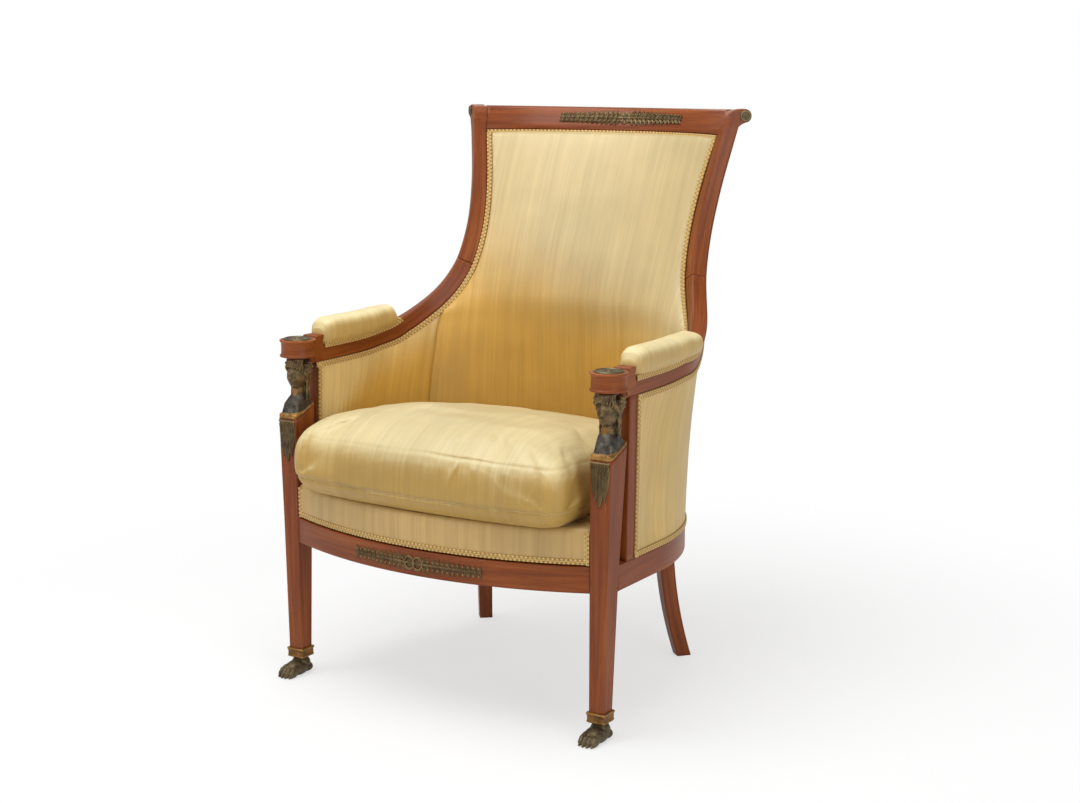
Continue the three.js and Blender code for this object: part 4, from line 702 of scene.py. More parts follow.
# Hidden beech: glued corner blocks in the seat frame and a rail across the back. They stay as the CAD has
# them, planed timber with its own pale grain.
def beech():
    """Raw beech: short dark flecks on pale timber, a little dusty."""
    finish = Finish("beech")
    at = finish.objects()
    grain = finish.noise(finish.stretch(at, 30, 160, 160), 1, 3)
    flecks = finish.ramp(finish.noise(finish.stretch(at, 120, 700, 700), 1, 1),
                         (0.34, (0, 0, 0, 1)), (0.44, (1, 1, 1, 1)))
    wood = finish.ramp(grain, (0.3, hue(158, 116, 74)), (0.7, hue(201, 163, 116)))
    wood = finish.mix((1 - flecks) * 0.5, wood, hue(120, 80, 48))
    return finish.show(finish.node("BsdfPrincipled", {}, 0, Base_Color=wood, Roughness=0.55 + grain * 0.2))


def dress(finish, *names):
    """Gives a CAD node that stays in view its finish."""
    for name in names:
        data = frame["nodes"][name].data
        data.materials.clear()
        data.materials.append(finish)


dress(beech(), "corner_block_front_right", "corner_block_front_left", "corner_block_rear_right",
      "corner_block_rear_left", "back_lower_rail")


# Seat webbing: seven straps of woven jute, stretched and tacked over the rails, seen from below. It stays
# as the CAD has it.
def jute():
    """A plain weave of two crossed waves, with a darker stripe and loose fibres."""
    finish = Finish("jute")
    at = finish.objects()
    lengthwise = finish.node("TexWave", {"bands_direction": "X"}, 1, Vector=at, Scale=130.0, Distortion=0.6)
    crosswise = finish.node("TexWave", {"bands_direction": "Y"}, 1, Vector=at, Scale=130.0, Distortion=0.6)
    weave = lengthwise * 0.5 + crosswise * 0.5
    fibres = finish.noise(finish.stretch(at, 300, 40, 40), 1, 3)
    cloth = finish.mix(weave, hue(118, 96, 60), hue(176, 152, 108))
    cloth = finish.mix(fibres * 0.4, cloth, hue(96, 76, 46))
    bump = finish.node("Bump", {}, 0, Strength=0.6, Distance=0.0008, Height=weave + fibres * 0.3)
    return finish.show(finish.node(
        "BsdfPrincipled", {}, 0, Base_Color=cloth, Roughness=0.85 + fibres * 0.1, Normal=bump,
    ))


dress(jute(), "seat_webbing")


# Seat platform: stuffing built up on the webbing and covered with silk, its front border follows the
# bow of the rail and is tacked to it under the braid.
DECK_TOP, POST_FRONT = 352 * mm, DRUM_Y + 33 * mm
PAD_CROWN = 22 * mm
DECK_SIDE = -(PAD_CROWN + 3 * mm)


def silk(name, at, deep, pale, fade_and_light_where, streaky=0.3):
    """Slubbed silk between a deep and a pale gold. Threads run with the second coordinate, so the slubs,
    thicker and paler or darker, are long thin streaks across the first. It is pale where the given mask, a
    function of (finish, place, slubs), is 1, and lighter or darker in broad patches. On some pieces the
    mask is a steady share of fade; on others it paints light on the tops and shade low down."""
    finish = Finish(name)
    place = finish.node("UVMap", {"uv_map": "cloth"}) if at == "uv" else finish.objects()
    thin, wide = ((260, 5, 1), (60, 2.2, 1)) if at == "uv" else ((260, 5, 5), (60, 2.2, 2.2))
    threads = finish.noise(finish.stretch(place, *thin), 1, 3, 0.6)
    slubs = finish.noise(finish.stretch(place, *wide), 1, 3, 0.6)
    patches = finish.noise(place, 5.2, 3, 0.55)
    tone = (threads - 0.5) * streaky + (slubs - 0.5) * streaky + (patches - 0.5) * 0.4 + 0.5
    shade = finish.node("MapRange", {}, 0, i0=tone, i1=0.36, i2=0.64, i3=0.0, i4=1.0)
    tinted = lambda gold, light: hue(*(light * part for part in gold))
    # The pale and the deep gold. The mask between them is a steady share of fade on some pieces; on others it
    # paints light on the tops and shade low down.
    pale_cloth, deep_cloth = (finish.mix(shade, tinted(gold, 0.88), tinted(gold, 1.06)) for gold in (pale, deep))
    cloth = finish.mix(fade_and_light_where(finish, place, slubs), deep_cloth, pale_cloth)
    weave = finish.node("TexWave", {"bands_direction": "Y" if at == "uv" else "Z"}, 1,
                        Vector=place, Scale=420.0, Distortion=1.2)
    bump = finish.node("Bump", {}, 0, Strength=0.35, Distance=0.0005,
                       Height=threads * 0.8 + slubs * 0.7 + weave * 0.15)
    return finish.show(finish.node(
        "BsdfPrincipled", {}, 0, Base_Color=cloth, Roughness=0.36 + threads * 0.2, Normal=bump,
        Specular_IOR_Level=0.55, Sheen_Weight=0.25, Sheen_Roughness=0.3, Sheen_Tint=hue(255, 240, 205),
        Anisotropic=0.35,
    ))


def half_faded(finish, place, slubs):
    """Little daylight falls here: about half way between the two golds, uneven with the slubs."""
    return slubs * 0.5 + 0.2


def cloth_map(u, v):
    """UV for a grid whose columns close on themselves: u across the threads, v along them, in metres."""
    u, v = np.broadcast_arrays(u, v)
    both = np.stack([u, v], -1)
    return np.concatenate([both, both[:, :1]], 1)


def cloth_piece(name, grid, u, v, finish, nodes, fill, ends=True):
    """A padded piece of the frame with its cloth map."""
    made = piece(name, grid, finish, nodes, ends=ends, uv=cloth_map(u, v))
    made.data.uv_layers[0].name = "cloth"
    return made


def deck_outline(inset):
    """The platform's plan: the bow in front, straight wings beside the legs, the wall's own curve behind."""
    corner = LEG_INNER - 0.3 * mm - inset
    front = bow(np.linspace(-corner, corner, 60), 5 * mm + inset, 0)[:, :2]
    wing = POST_FRONT - 0.3 * mm - inset
    side = wall(np.linspace(share_at(wing, DECK_TOP), 1, 60), DECK_TOP, DECK_SIDE - inset)[:, :2]
    right = np.concatenate([[[corner, wing]], side])
    return np.concatenate([front, right, (right * [-1, 1])[::-1][1:]])


def platform():
    """Rows from the webbing up: the border swells by 1.6 mm half way and turns over a soft edge. The top lies
    flat under the cushion, as the outline shrunk towards a middle between the front wings."""
    low, high = RAIL_TOP + 2.6 * mm, DECK_TOP
    grid = []
    for t in np.linspace(0, 1, 14):
        outline = deck_outline(-1.6 * mm * np.sin(np.pi * t) + 5 * mm * max(0.0, (t - 0.86) / 0.14)**2)
        grid.append(np.column_stack([outline, np.full(len(outline), low + (high - low) * t)]))
    edge, middle = grid[-1], np.array([0, -185 * mm, high])
    for s in (0.97, 0.9, 0.75, 0.5, 0.25, 0.05):
        ring = middle + (edge - middle) * s
        ring[:, 2] = high - 0.2 * mm
        grid.append(ring)
    return np.stack(grid)


deck = platform()
deck_u = deck[..., 0]
deck_v = deck[..., 2] + deck[..., 1] - bow(deck[..., 0], 5 * mm, 0)[..., 1]
# The seat's silk is a deeper gold than the rest: partly the cloth's own colour, partly painted shade for the
# border in the cushion's shadow.
SILK_SEAT = silk("silk_seat", "uv", (176, 138, 72), (206, 176, 118), half_faded, 0.24)
cloth_piece("seat_platform_shown", deck, deck_u, deck_v, SILK_SEAT, ("seat_platform",), 0.7)


# Padding of the inside back and arms: hair stuffing under silk, tacked to the timber under the braid and
# sewn where arm and back meet.
PAD_ROWS = raised([
    [0.014, 0.04, 0.3], [0.141, 0.04, 0.62], [0.387, 0.04, 0.9], [0.739, 0.04, 1], [1.131, 0.04, 1],
    [1.296, 0.04, 0.78], [1.46, 0.04, 0.46], [1.624, 0.04, 0.32], [1.765, 0.02, 0.24], [1.883, -0.02, 0.2],
])
SEAM, OUTER_SEAM = 0.333, 0.49


def edge_rows(gap):
    """Where the timber's lower and inner edge runs, a gap away from it, as shares and heights."""
    p = fine["place"] - fine["across"] * (width_at(fine["z"]) / 2 + gap)[:, None]
    return share_at(p[:, 1], p[:, 2]), p[:, 2]


def edge_height(rows, share):
    """The edge's height at a share, on its way up along the arm."""
    shares, heights = rows
    rising = slice(0, np.argmax(shares) + 1)
    return np.interp(share, shares[rising], heights[rising])


def edge_share(rows, z):
    """The edge's share at a height, along the back post."""
    shares, heights = rows
    start = np.searchsorted(shares, -0.2)
    return np.interp(z, heights[start:], shares[start:])


def edge_stand(z):
    """How far in front of the wall the padding's edge stands."""
    return -read_table(PAD_ROWS, z, 1) * WALL_THICK


def plump(run, power=5):
    """0 at both ends and 1 in between: 1 - |2 run - 1|^power."""
    return 1 - np.abs(2 * run - 1)**power


UNDER_GIMP = edge_rows(5 * mm)


def ripple(u, v, size, seed):
    """Slow waves of a stretched cloth: a sum of six sines with directions and phases drawn from the seed."""
    draw = np.random.default_rng(seed)
    total = 0
    for _ in range(6):
        direction, phase = draw.uniform(0, np.pi), draw.uniform(0, 2 * np.pi)
        pitch = draw.uniform(0.05, 0.16)
        total = total + np.sin((u * np.cos(direction) + v * np.sin(direction)) * 2 * np.pi / pitch + phase)
    return total * size / 6


WALL_SPAN = 0.45          # metres of wall for each share, for the cloth's threads and ripples


def face_and_lining(face, lining, share, z):
    """The face's columns and the lining's on the way back, as one closed grid with its u and v."""
    u = share * WALL_SPAN
    both = ((face, lining), (u, u), (z, z))
    return tuple(np.concatenate([front, behind[:, ::-1]], 1) for front, behind in both)


def back_pad():
    """Rows are heights, columns run from one edge to the other and back behind. The face stands out by the
    crown times 1 - |2r - 1|^5, so it is full in the middle and drops quickly to its tacked edges. From the
    arms up it also rolls out by 5.5 mm within 7 mm of the edge."""
    low, high = RAIL_TOP + 4 * mm, CREST_LOW - 8 * mm
    z = np.linspace(low, high, 90)[:, None]
    seam_top = edge_height(UNDER_GIMP, SEAM)
    start = np.where(z < seam_top, SEAM, np.maximum(SEAM, edge_share(UNDER_GIMP, z)))
    run = (1 - np.cos(np.pi * np.linspace(0, 1, 90)[None])) / 2
    share = start + (2 - 2 * start) * run
    crown = read_table(PAD_ROWS, z, 2) * PAD_CROWN
    dip = np.exp(-(run / 0.012)**2) + np.exp(-((1 - run) / 0.012)**2)
    aside = np.minimum(share - start, 2 - start - share) * WALL_HALF * np.pi / 2
    roll = 5.5 * mm * (1 - np.exp(-aside / (7 * mm))) * (1 - 0.6 * np.exp(-(z[-1] - z) / (9 * mm)))
    roll = roll * smooth_step(z, seam_top - 20 * mm, seam_top + 30 * mm)
    uneven = ripple(share * WALL_SPAN, z, 0.7 * mm, 5) * plump(run, 3)
    near = edge_stand(z) - crown * plump(run) - roll + uneven + 1.5 * mm * dip
    far = np.maximum(3 * mm, edge_stand(z) + 4 * mm) + 0 * run
    return face_and_lining(wall(share, z, near), wall(share, z, far), share, z + 0 * run)


def painted_shade_below(low, low_rise, high, high_rise):
    """Painted shade: pale from a height upwards and deep below another, where shade falls low down; both
    heights rise with the share of the wall.
    """
    def where(finish, place, slubs):
        height = finish.node("SeparateXYZ", {}, 2, Vector=finish.objects())
        along = finish.node("SeparateXYZ", {}, 0, Vector=place)
        return finish.node("MapRange", {"interpolation_type": "SMOOTHSTEP"}, 0,
                           i0=height + (slubs - 0.5) * 0.08, i1=along * low_rise + low,
                           i2=along * high_rise + high, i3=0.05, i4=1.0)
    return where


# Inside back: pale gold at the top and deep amber low down, the amber painted shade.
SILK_BACK = silk("silk_inside", "uv", (196, 150, 58), (194, 173, 124),
                 painted_shade_below(0.45, 0.2, 0.545, 0.46), 0.26)
cloth_piece("inside_back_pad_shown", *back_pad(), SILK_BACK, ("inside_back_pad",), 0.7, ends="sewn")


def arm_panel(low, start_of, end, rows, near_of, far_of):
    """A panel from the arm post to a seam, between the rail and the lower edge of the arm."""
    run = np.linspace(0, 1, 70)[:, None]
    rise = np.linspace(0, 1, 60)[None]
    top = edge_height(rows, start_of(BLOCK_LOW) + (end - start_of(BLOCK_LOW)) * run)
    z = low + (top - low) * rise
    share = start_of(z) + (end - start_of(z)) * run
    face, lining = (wall(share, z, depth(run, rise, share, z)) for depth in (near_of, far_of))
    return face_and_lining(face, lining, share, z)


def post_line(gap):
    """The share of the wall at a gap behind the arm post's leaning front face."""
    def at(z):
        return share_at(POST_FRONT + 7 * mm * (z - RAIL_TOP) / (BLOCK_LOW - RAIL_TOP) + gap, z)
    return at


inside_arm = arm_panel(
    RAIL_TOP + 4 * mm, post_line(5 * mm), SEAM, UNDER_GIMP,
    lambda run, rise, share, z: (-1 * mm - 12 * mm * plump(run) * plump(rise) * (1 - 0.4 * rise)
                                 + ripple(share * WALL_SPAN, z, 0.6 * mm, 8)
                                 * plump(run, 3) * plump(rise, 3)),
    lambda run, rise, share, z: 1.2 * mm + 0 * share,
)
# Inside arms: pale gold high up and deep amber low down, the amber painted shade.
SILK_ARM = silk("silk_inside_arm", "uv", (206, 158, 62), (214, 184, 120),
                painted_shade_below(0.47, 0.2, 0.58, 0.45), 0.26)
for side, turn in SIDES:
    cloth_piece(f"inside_arm_pad_{side}_shown", turn(inside_arm[0]), *inside_arm[1:], SILK_ARM,
                (f"inside_arm_pad_{side}",), 0.6, ends="sewn")


# Outside cloth: silk stretched over the back of the wall, tacked under the arm, the crest and above the
# rail, drawn in a little between them.
OUTER = WALL_THICK - 0.4 * mm
OUTER_EDGE = edge_rows(6 * mm)


def drawn_in(run, rise, share, z):
    """How far outwards the cloth lies: up to 8 mm further in between its tacked edges."""
    return (OUTER - 8 * mm * plump(rise) * np.sin(np.pi * np.minimum(run / (1 - SEAM / 2), 1))
            + ripple(share * WALL_SPAN, z, 0.6 * mm, 11) * plump(rise, 3) * plump(run, 3))


SILK_OUTSIDE = silk("silk_outside", "uv", (198, 162, 90), (214, 186, 118), half_faded, 0.3)
CLOTH_THICK = 3.5 * mm
outside_arm = arm_panel(RAIL_TOP + 6 * mm, post_line(29 * mm), OUTER_SEAM, OUTER_EDGE,
                        lambda *at: drawn_in(*at) - CLOTH_THICK, drawn_in)
for side, turn in SIDES:
    cloth_piece(f"outside_arm_panel_{side}_shown", turn(outside_arm[0]), *outside_arm[1:], SILK_OUTSIDE,
                (f"outside_arm_panel_{side}",), 0.3, ends="sewn")


def outside_back():
    """Rows are heights; the cloth, with its lining, follows the wall's outer face."""
    z = np.linspace(RAIL_TOP + 6 * mm, CREST_LOW - 8 * mm, 80)[:, None]
    seam_top = edge_height(OUTER_EDGE, OUTER_SEAM)
    start = np.where(z < seam_top, OUTER_SEAM, edge_share(OUTER_EDGE, z))
    run = (1 - np.cos(np.pi * np.linspace(0, 1, 80)[None])) / 2
    share = start + (2 - 2 * start) * run
    out = OUTER + ripple(share * WALL_SPAN, z, 0.5 * mm, 3) * plump(run, 3)
    return face_and_lining(wall(share, z, out), wall(share, z, out - CLOTH_THICK), share, z + 0 * run)


cloth_piece("outside_back_panel_shown", *outside_back(), SILK_OUTSIDE, ("outside_back_panel",), 0.3,
            ends="sewn")


# Gimp: a woven braid 10 mm wide, glued over every tacked edge. Two rows of small loops cross a middle
# cord, so its edges are scalloped and its face is beaded.
GIMP_PITCH, GIMP_WIDTH, GIMP_THICK = 7.4 * mm, 10 * mm, 4 * mm


def gimp():
    """Gold braid: painted light on the loops and painted shade in the hollows, as the relief attribute says.
    """
    finish = Finish("gimp")
    place = finish.node("UVMap", {"uv_map": "along"})
    fibre = finish.noise(finish.stretch(place, 900, 260, 1), 1, 2)
    # The relief paints light on the raised loops and shade in the hollows.
    shade = finish.node("Attribute", {"attribute_name": "relief"}, 2)
    patches = finish.noise(finish.objects(), 14, 2)
    cloth = finish.ramp(shade * 0.75 + fibre * 0.25, (0.1, hue(146, 108, 52)), (0.4, hue(190, 156, 90)),
                        (0.75, hue(226, 200, 136)))
    cloth = finish.mix(patches * 0.45, cloth, finish.mix(1.0, cloth, hue(222, 196, 150), "MULTIPLY"))
    bump = finish.node("Bump", {}, 0, Strength=0.4, Distance=0.0004, Height=fibre)
    return finish.show(finish.node(
        "BsdfPrincipled", {}, 0, Base_Color=cloth, Roughness=0.5 + fibre * 0.2, Normal=bump,
        Sheen_Weight=0.15, Specular_IOR_Level=0.35,
    ))


GIMP = gimp()


def measured(path):
    """The length along a path up to each of its points."""
    return np.concatenate([[0], np.cumsum(np.linalg.norm(np.diff(path, axis=0), axis=-1))])


def braid(place, across, outwards):
    """Carries the braid along a path, a row every sixth of a loop. At s along it and w across it, the
    half width is W (0.88 + 0.12 |cos|) and the height is a bead sin^2 in each of two rows, half a loop
    apart, beside a twisted cord in the middle."""
    steps = measured(place)
    count = max(int(steps[-1] / GIMP_PITCH * 6), 6)
    s = np.linspace(0, steps[-1], count)

    def resampled(values):
        return np.stack([np.interp(s, steps, values[:, k]) for k in range(3)], -1)

    w = np.array([-1, -0.92, -0.72, -0.48, -0.24, 0, 0.24, 0.48, 0.72, 0.92, 1])[None]
    turn = (np.pi * s / GIMP_PITCH)[:, None]
    half = GIMP_WIDTH / 2 * (0.88 + 0.12 * np.where(w < 0, np.abs(np.sin(turn)), np.abs(np.cos(turn))))
    beads = np.where(w < 0, np.sin(turn)**2, np.cos(turn)**2) * np.exp(-((np.abs(w) - 0.62) / 0.28)**2)
    cord = (0.65 + 0.35 * np.sin(turn * 4)) * np.exp(-(w / 0.16)**2)
    relief = np.clip(beads + cord, 0, 1)
    height = GIMP_THICK * (0.52 + 0.36 * relief) * (1 - 0.75 * (np.abs(w) > 0.97))
    section = np.stack([w * half, height], -1)
    flat = 0 * half[:, 0]
    under = np.stack([np.stack([half[:, -1], flat], -1), np.stack([-half[:, 0], flat], -1)], 1)
    grid = carried(resampled(place), unit(resampled(across)), unit(resampled(outwards)),
                   np.concatenate([section, under], 1))
    return grid, np.concatenate([relief, np.zeros((len(s), 2))], 1)


def joined(parts, name):
    """Several pieces as one object, under a name."""
    with bpy.context.temp_override(active_object=parts[0], selected_objects=parts,
                                   selected_editable_objects=parts):
        if len(parts) > 1:
            bpy.ops.object.join()
    parts[0].name = name
    return parts[0]


def braid_piece(name, runs, nodes):
    """One piece from several runs of braid, with the relief kept as an attribute for the finish."""
    made = []
    for number, run in enumerate(runs):
        grid, relief = braid(*run)
        part = piece(f"{name}_run_{number}", grid, GIMP)
        values = np.concatenate([relief.ravel(), [0, 0]]).astype(np.float32)
        part.data.attributes.new("relief", "FLOAT", "POINT").data.foreach_set("value", values)
        made.append(part)
    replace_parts(joined(made, name), *nodes)


def member_run(stations, side, out_of, tilt=0.0):
    """Along the timber's lower and inner edge, on its inner (-1) or outer (1) face. The tilt turns the braid
    up the padding's rolled edge, with its rim at the timber kept down."""
    across, outwards = stations["across"], stations["outwards"]
    lean = tilt * smooth_step(stations["z"], ARM + 20 * mm, SCARF)[:, None]
    place = stations["place"] - across * (width_at(stations["z"]) / 2 - 0.8 * mm + GIMP_WIDTH / 2)[:, None]
    place = place + outwards * (out_of(stations["z"])[:, None] + side * np.sin(lean) * GIMP_WIDTH / 2)
    return (place, across * np.cos(lean) - outwards * side * np.sin(lean),
            outwards * side * np.cos(lean) + across * np.sin(lean))


def other_side(run):
    """A run of braid mirrored: its path, its direction across and its direction outwards."""
    return tuple(part * [-1, 1, 1] for part in run)


def wall_run(shares, z, out_of, side):
    """Along the wall at one height."""
    shares = np.asarray(shares)
    place = wall(shares, z, out_of)
    outwards = unit(wall(shares, z, WALL_THICK) - wall(shares, z, 0))
    along = unit(np.gradient(place, axis=0))
    return place, unit(np.cross(outwards, along)), outwards * side


def post_run(gap, z0, z1, out, side):
    """Up the side of the arm post."""
    z = np.linspace(z0, z1, 12)
    y = POST_FRONT + 7 * mm * (z - RAIL_TOP) / (BLOCK_LOW - RAIL_TOP) + gap + GIMP_WIDTH / 2
    place = np.stack([np.full(12, WALL_HALF + out), y, z], -1)
    return place, np.tile([0.0, 1, 0], (12, 1)), np.tile([side, 0.0, 0], (12, 1))


def standing(z):
    """The braid's seat on the padding: 1 mm behind the padding's edge."""
    return edge_stand(z) + 1 * mm


crest_share = edge_share(edge_rows(0.3 * mm), CREST_LOW - 8 * mm)
crest_shares = np.linspace(crest_share, 2 - crest_share, 160)
CREST_GIMP = CREST_LOW - 1.2 * mm - GIMP_WIDTH / 2
near_end = np.searchsorted(fine["place"][:, 1], POST_FRONT)
crest_end = np.searchsorted(fine["z"], CREST_LOW - 6 * mm)
along_member = picked(fine, slice(near_end, crest_end))
inner_member = member_run(along_member, -1, standing, 0.45)
under_arm = ARM - 15.5 * mm
inner_post = post_run(0, RAIL_TOP + 2.6 * mm, under_arm, float(standing(RAIL_TOP)), -1)
braid_piece("gimp_inside_shown", [
    inner_member, other_side(inner_member), inner_post, other_side(inner_post),
    wall_run(crest_shares, CREST_GIMP, float(standing(CREST_GIMP)), -1),
], ("gimp_inside",))
outer_start = np.searchsorted(fine["place"][:, 1], POST_FRONT + 31 * mm)
outer_face = OUTER - 0.4 * mm
outer_member = member_run(picked(fine, slice(outer_start, crest_end)), 1, lambda z: outer_face + 0 * z)
low_shares = np.linspace(float(share_at(POST_FRONT + 24 * mm, RAIL_TOP)), 1, 150)
outer_runs = [
    outer_member, post_run(24.3 * mm, RAIL_TOP + 0.3 * mm, under_arm + 1 * mm, outer_face, 1),
    wall_run(low_shares, RAIL_TOP + 0.3 * mm + GIMP_WIDTH / 2, outer_face, 1),
    wall_run(crest_shares[:80], CREST_GIMP, outer_face, 1),
]
braid_piece("gimp_outside_right_shown", outer_runs, ("gimp_outside_right",))
braid_piece("gimp_outside_left_shown", [other_side(run) for run in outer_runs], ("gimp_outside_left",))


def border_run(x, z):
    """Along the front rail, on the platform's border."""
    place = bow(x, 5 * mm, z)
    outwards = unit(place - bow(x, 60 * mm, z))
    return place, np.tile([0.0, 0, 1], (len(x), 1)), outwards


border_x = np.linspace(-LEG_INNER + 1 * mm, LEG_INNER - 1 * mm, 120)
up = np.linspace(RAIL_TOP + 2.3 * mm, DECK_TOP - 6 * mm, 12)
edge_place = bow(LEG_INNER - 5.5 * mm, 5 * mm, up)
edge_up = (edge_place, np.tile([1.0, 0, 0], (12, 1)), np.tile([0, -1.0, 0], (12, 1)))
braid_piece("gimp_front_border_shown", [
    border_run(border_x, RAIL_TOP + 2.5 * mm + GIMP_WIDTH / 2), edge_up, other_side(edge_up),
], ("gimp_front_border",))


# Arm pads: hair-stuffed rolls on the arm rails, covered with silk that is tacked to the timber's sides
# under a braid. They are thinner at the back and drawn in at both ends.
PAD_END_SHARES = np.array([[0, 0.6], [0.03, 0.88], [0.1, 1], [0.9, 1], [0.97, 0.84], [1, 0.5]], float)
PAD_FRONT, PAD_FOOT, PAD_WIDTH, PAD_HEIGHT = -145 * mm, 29 * mm, 47 * mm, 46 * mm
pad_from = np.argmax(fine["place"][:, 1] > PAD_FRONT) / 699
pad_to = np.argmax(fine["share"] > 0.135) / 699


def arm_pad():
    """Sections along the arm: an arc on a foot narrower than itself, squared by raising its sine and cosine
    to a power below 1. Gathers run down from the crown to the tacks and deepen towards the ends."""
    run = (1 - np.cos(np.pi * np.linspace(0, 1, 110))) / 2
    at = wall_path(MEMBER, pad_from + (pad_to - pad_from) * run)
    foot = np.arccos(PAD_FOOT / PAD_WIDTH)
    size = read_table(PAD_END_SHARES, run, 1)
    square = 0.72
    tall = PAD_HEIGHT / (1 + np.sin(foot)) * (1 - 0.2 * run)
    angle = np.linspace(-foot, np.pi + foot, 60)[None]
    draw = np.random.default_rng(4)
    phases = draw.uniform(0, 6.28, 3)
    wave = sum(np.sin(run * 2 * np.pi * k + phase) for k, phase in zip((17, 23, 31), phases))[:, None] / 3
    low = np.clip(1 - np.sin(np.clip(angle, 0, np.pi)), 0, 1)**2
    near_end = np.exp(-np.minimum(run, 1 - run) / 0.07)[:, None]
    gather = 1 + wave * (0.018 * low + 0.02 * near_end)
    upright = np.sign(np.sin(angle)) * np.abs(np.sin(angle))**square
    sideways = np.sign(np.cos(angle)) * np.abs(np.cos(angle))**square
    rise = (size * tall)[:, None] * (np.where(angle > 0, upright, np.sin(angle)) * gather + np.sin(foot))
    spread = size[:, None] * np.where(np.sin(angle) > 0, sideways, np.cos(angle)) * gather * PAD_WIDTH / 2
    section = np.stack([ARM_WIDTH / 2 + 0.4 * mm + rise, WALL_THICK / 2 + spread], -1)
    return carried(at["place"], at["across"], at["outwards"], section)


def painted_light_on_top(finish, place, slubs):
    """Painted light: pale where the cloth faces up into the overhead light, deeper gold on the sides and
    below.
    """
    up = finish.node("SeparateXYZ", {}, 2, Vector=finish.node("NewGeometry", {}, 1))
    return finish.node("MapRange", {"interpolation_type": "SMOOTHSTEP"}, 0, i0=up + (slubs - 0.5) * 0.35,
                       i1=0.05, i2=0.75, i3=0.0, i4=1.0)


# Arm pads: painted light, pale on top where they face the lamp above, deeper gold on their sides.
SILK_PAD = silk("silk_pad", "uv", (200, 168, 102), (232, 214, 160), painted_light_on_top, 0.2)
pad = arm_pad()
pad_u = measured(pad[:, 30])[:, None] + 0 * pad[..., 0]
pad_v = measured(pad[50])[None] + 0 * pad[..., 0]
for side, turn in SIDES:
    cloth_piece(f"arm_pad_{side}_shown", turn(pad), pad_u, pad_v, SILK_PAD, (f"arm_pad_{side}",), 0.9)


def pad_runs():
    """The braid round a pad's foot: along both faces of the arm rail and over it behind the pad."""
    at = wall_path(MEMBER, np.linspace(pad_from, pad_to + 0.012, 80))
    level = ARM_WIDTH / 2 + 3.2 * mm - GIMP_WIDTH / 2
    inner = at["place"] + level * at["across"] - 0.3 * mm * at["outwards"]
    outer = at["place"] + level * at["across"] + (WALL_THICK + 0.3 * mm) * at["outwards"]
    end = picked(at, slice(76, 77))
    over = np.linspace(-3 * mm, WALL_THICK + 3 * mm, 12)[:, None]
    along = unit(np.cross(end["across"], end["outwards"]))
    across_end = end["place"] + (ARM_WIDTH / 2 + 0.4 * mm) * end["across"] + over * end["outwards"]
    return [(inner, at["across"], -at["outwards"]), (outer, at["across"], at["outwards"]),
            (across_end, np.repeat(along, 12, 0), np.repeat(end["across"], 12, 0))]


for side, turn in (("right", lambda run: run), ("left", other_side)):
    braid_piece(f"gimp_arm_pad_{side}_shown", [turn(run) for run in pad_runs()], (f"gimp_arm_pad_{side}",))


# Seat cushion: a loose cushion filled with down, two panels and a boxing strip sewn together with a
# welted seam below; it bows out over the front rail and slides off forwards.
CUSHION_SHARES = np.array([
    [0, 0.9], [0.04, 0.93], [0.11, 0.957], [0.19, 0.976], [0.3, 0.993], [0.42, 1], [0.58, 0.993],
    [0.7, 0.968], [0.8, 0.92], [0.89, 0.8], [0.96, 0.56], [0.99, 0.32],
], float)
CUSHION_HEIGHT, CUSHION_FALL, CUSHION_HALF, CORNER = 143 * mm, 45 * mm, 284 * mm, 38 * mm
CUSHION_FRONT, CUSHION_BOW = LEG_FRONT - BOW - 20 * mm, 24 * mm
SEAM_HEIGHT = DECK_TOP + 29 * mm
HALF_DEPTH, MEAN_RADIUS = 0.29, 0.33          # of the cushion; the radius turns an angle into a length
CROWN_LOW, CROWN_TOP = 0.46, 0.492            # heights where the crown begins and where it is flat
VOXEL, PRESSURE, SIM_FRAMES = 6 * mm, 4.0, 20


def cushion_plan():
    """Half of the plan is a bowed front, a round corner, a step in beside the arm posts and the wall's
    curve; the other half mirrors it. Points are spread evenly along it."""
    bowed = lambda x: CUSHION_FRONT + CUSHION_BOW * (x / CUSHION_HALF)**2
    flat = CUSHION_HALF - CORNER
    x = np.linspace(0, flat, 60)
    turn = np.linspace(0, np.pi / 2, 20)[1:]
    corner = np.stack([flat + CORNER * np.sin(turn), bowed(flat) + CORNER * (1 - np.cos(turn))], -1)
    side = [[CUSHION_HALF, POST_FRONT - CORNER / 2],
            [WALL_HALF + DECK_SIDE - 3 * mm, POST_FRONT + CORNER / 2]]
    start = share_at(POST_FRONT + CORNER, DECK_TOP)
    behind = wall(np.linspace(start, 1, 60), DECK_TOP, DECK_SIDE - 3 * mm)[:, :2]
    half = np.concatenate([np.stack([x, bowed(x)], -1), corner, side, behind])
    whole = np.concatenate([half, (half[1:-1] * [-1, 1])[::-1]])
    loop = np.concatenate([whole, whole[:1]])
    length = measured(loop)
    even = np.linspace(0, length[-1], 241)[:-1]
    return np.stack([np.interp(even, length, loop[:, k]) for k in range(2)], -1)


def cushion_base(inset):
    """The plan scaled at each height: x s, m + (y - m) s; the height falls towards the back by a smooth
    step over the depth. An inset leaves room to swell."""
    plan = cushion_plan()
    middle = (plan[:, 1].min() + plan[:, 1].max()) / 2
    level = np.linspace(0, 1, 34)[:, None]
    size = read_table(CUSHION_SHARES, level, 1) - inset / CUSHION_HALF
    y = middle + (plan[None, :, 1] - middle) * size
    share = (y - plan[:, 1].min()) / (plan[:, 1].max() - plan[:, 1].min())
    tall = CUSHION_HEIGHT - CUSHION_FALL * smooth_step(share, 0.3, 1) - inset * level
    return np.stack([plan[None, :, 0] * size, y, DECK_TOP + 0.3 * mm + level * tall], -1)


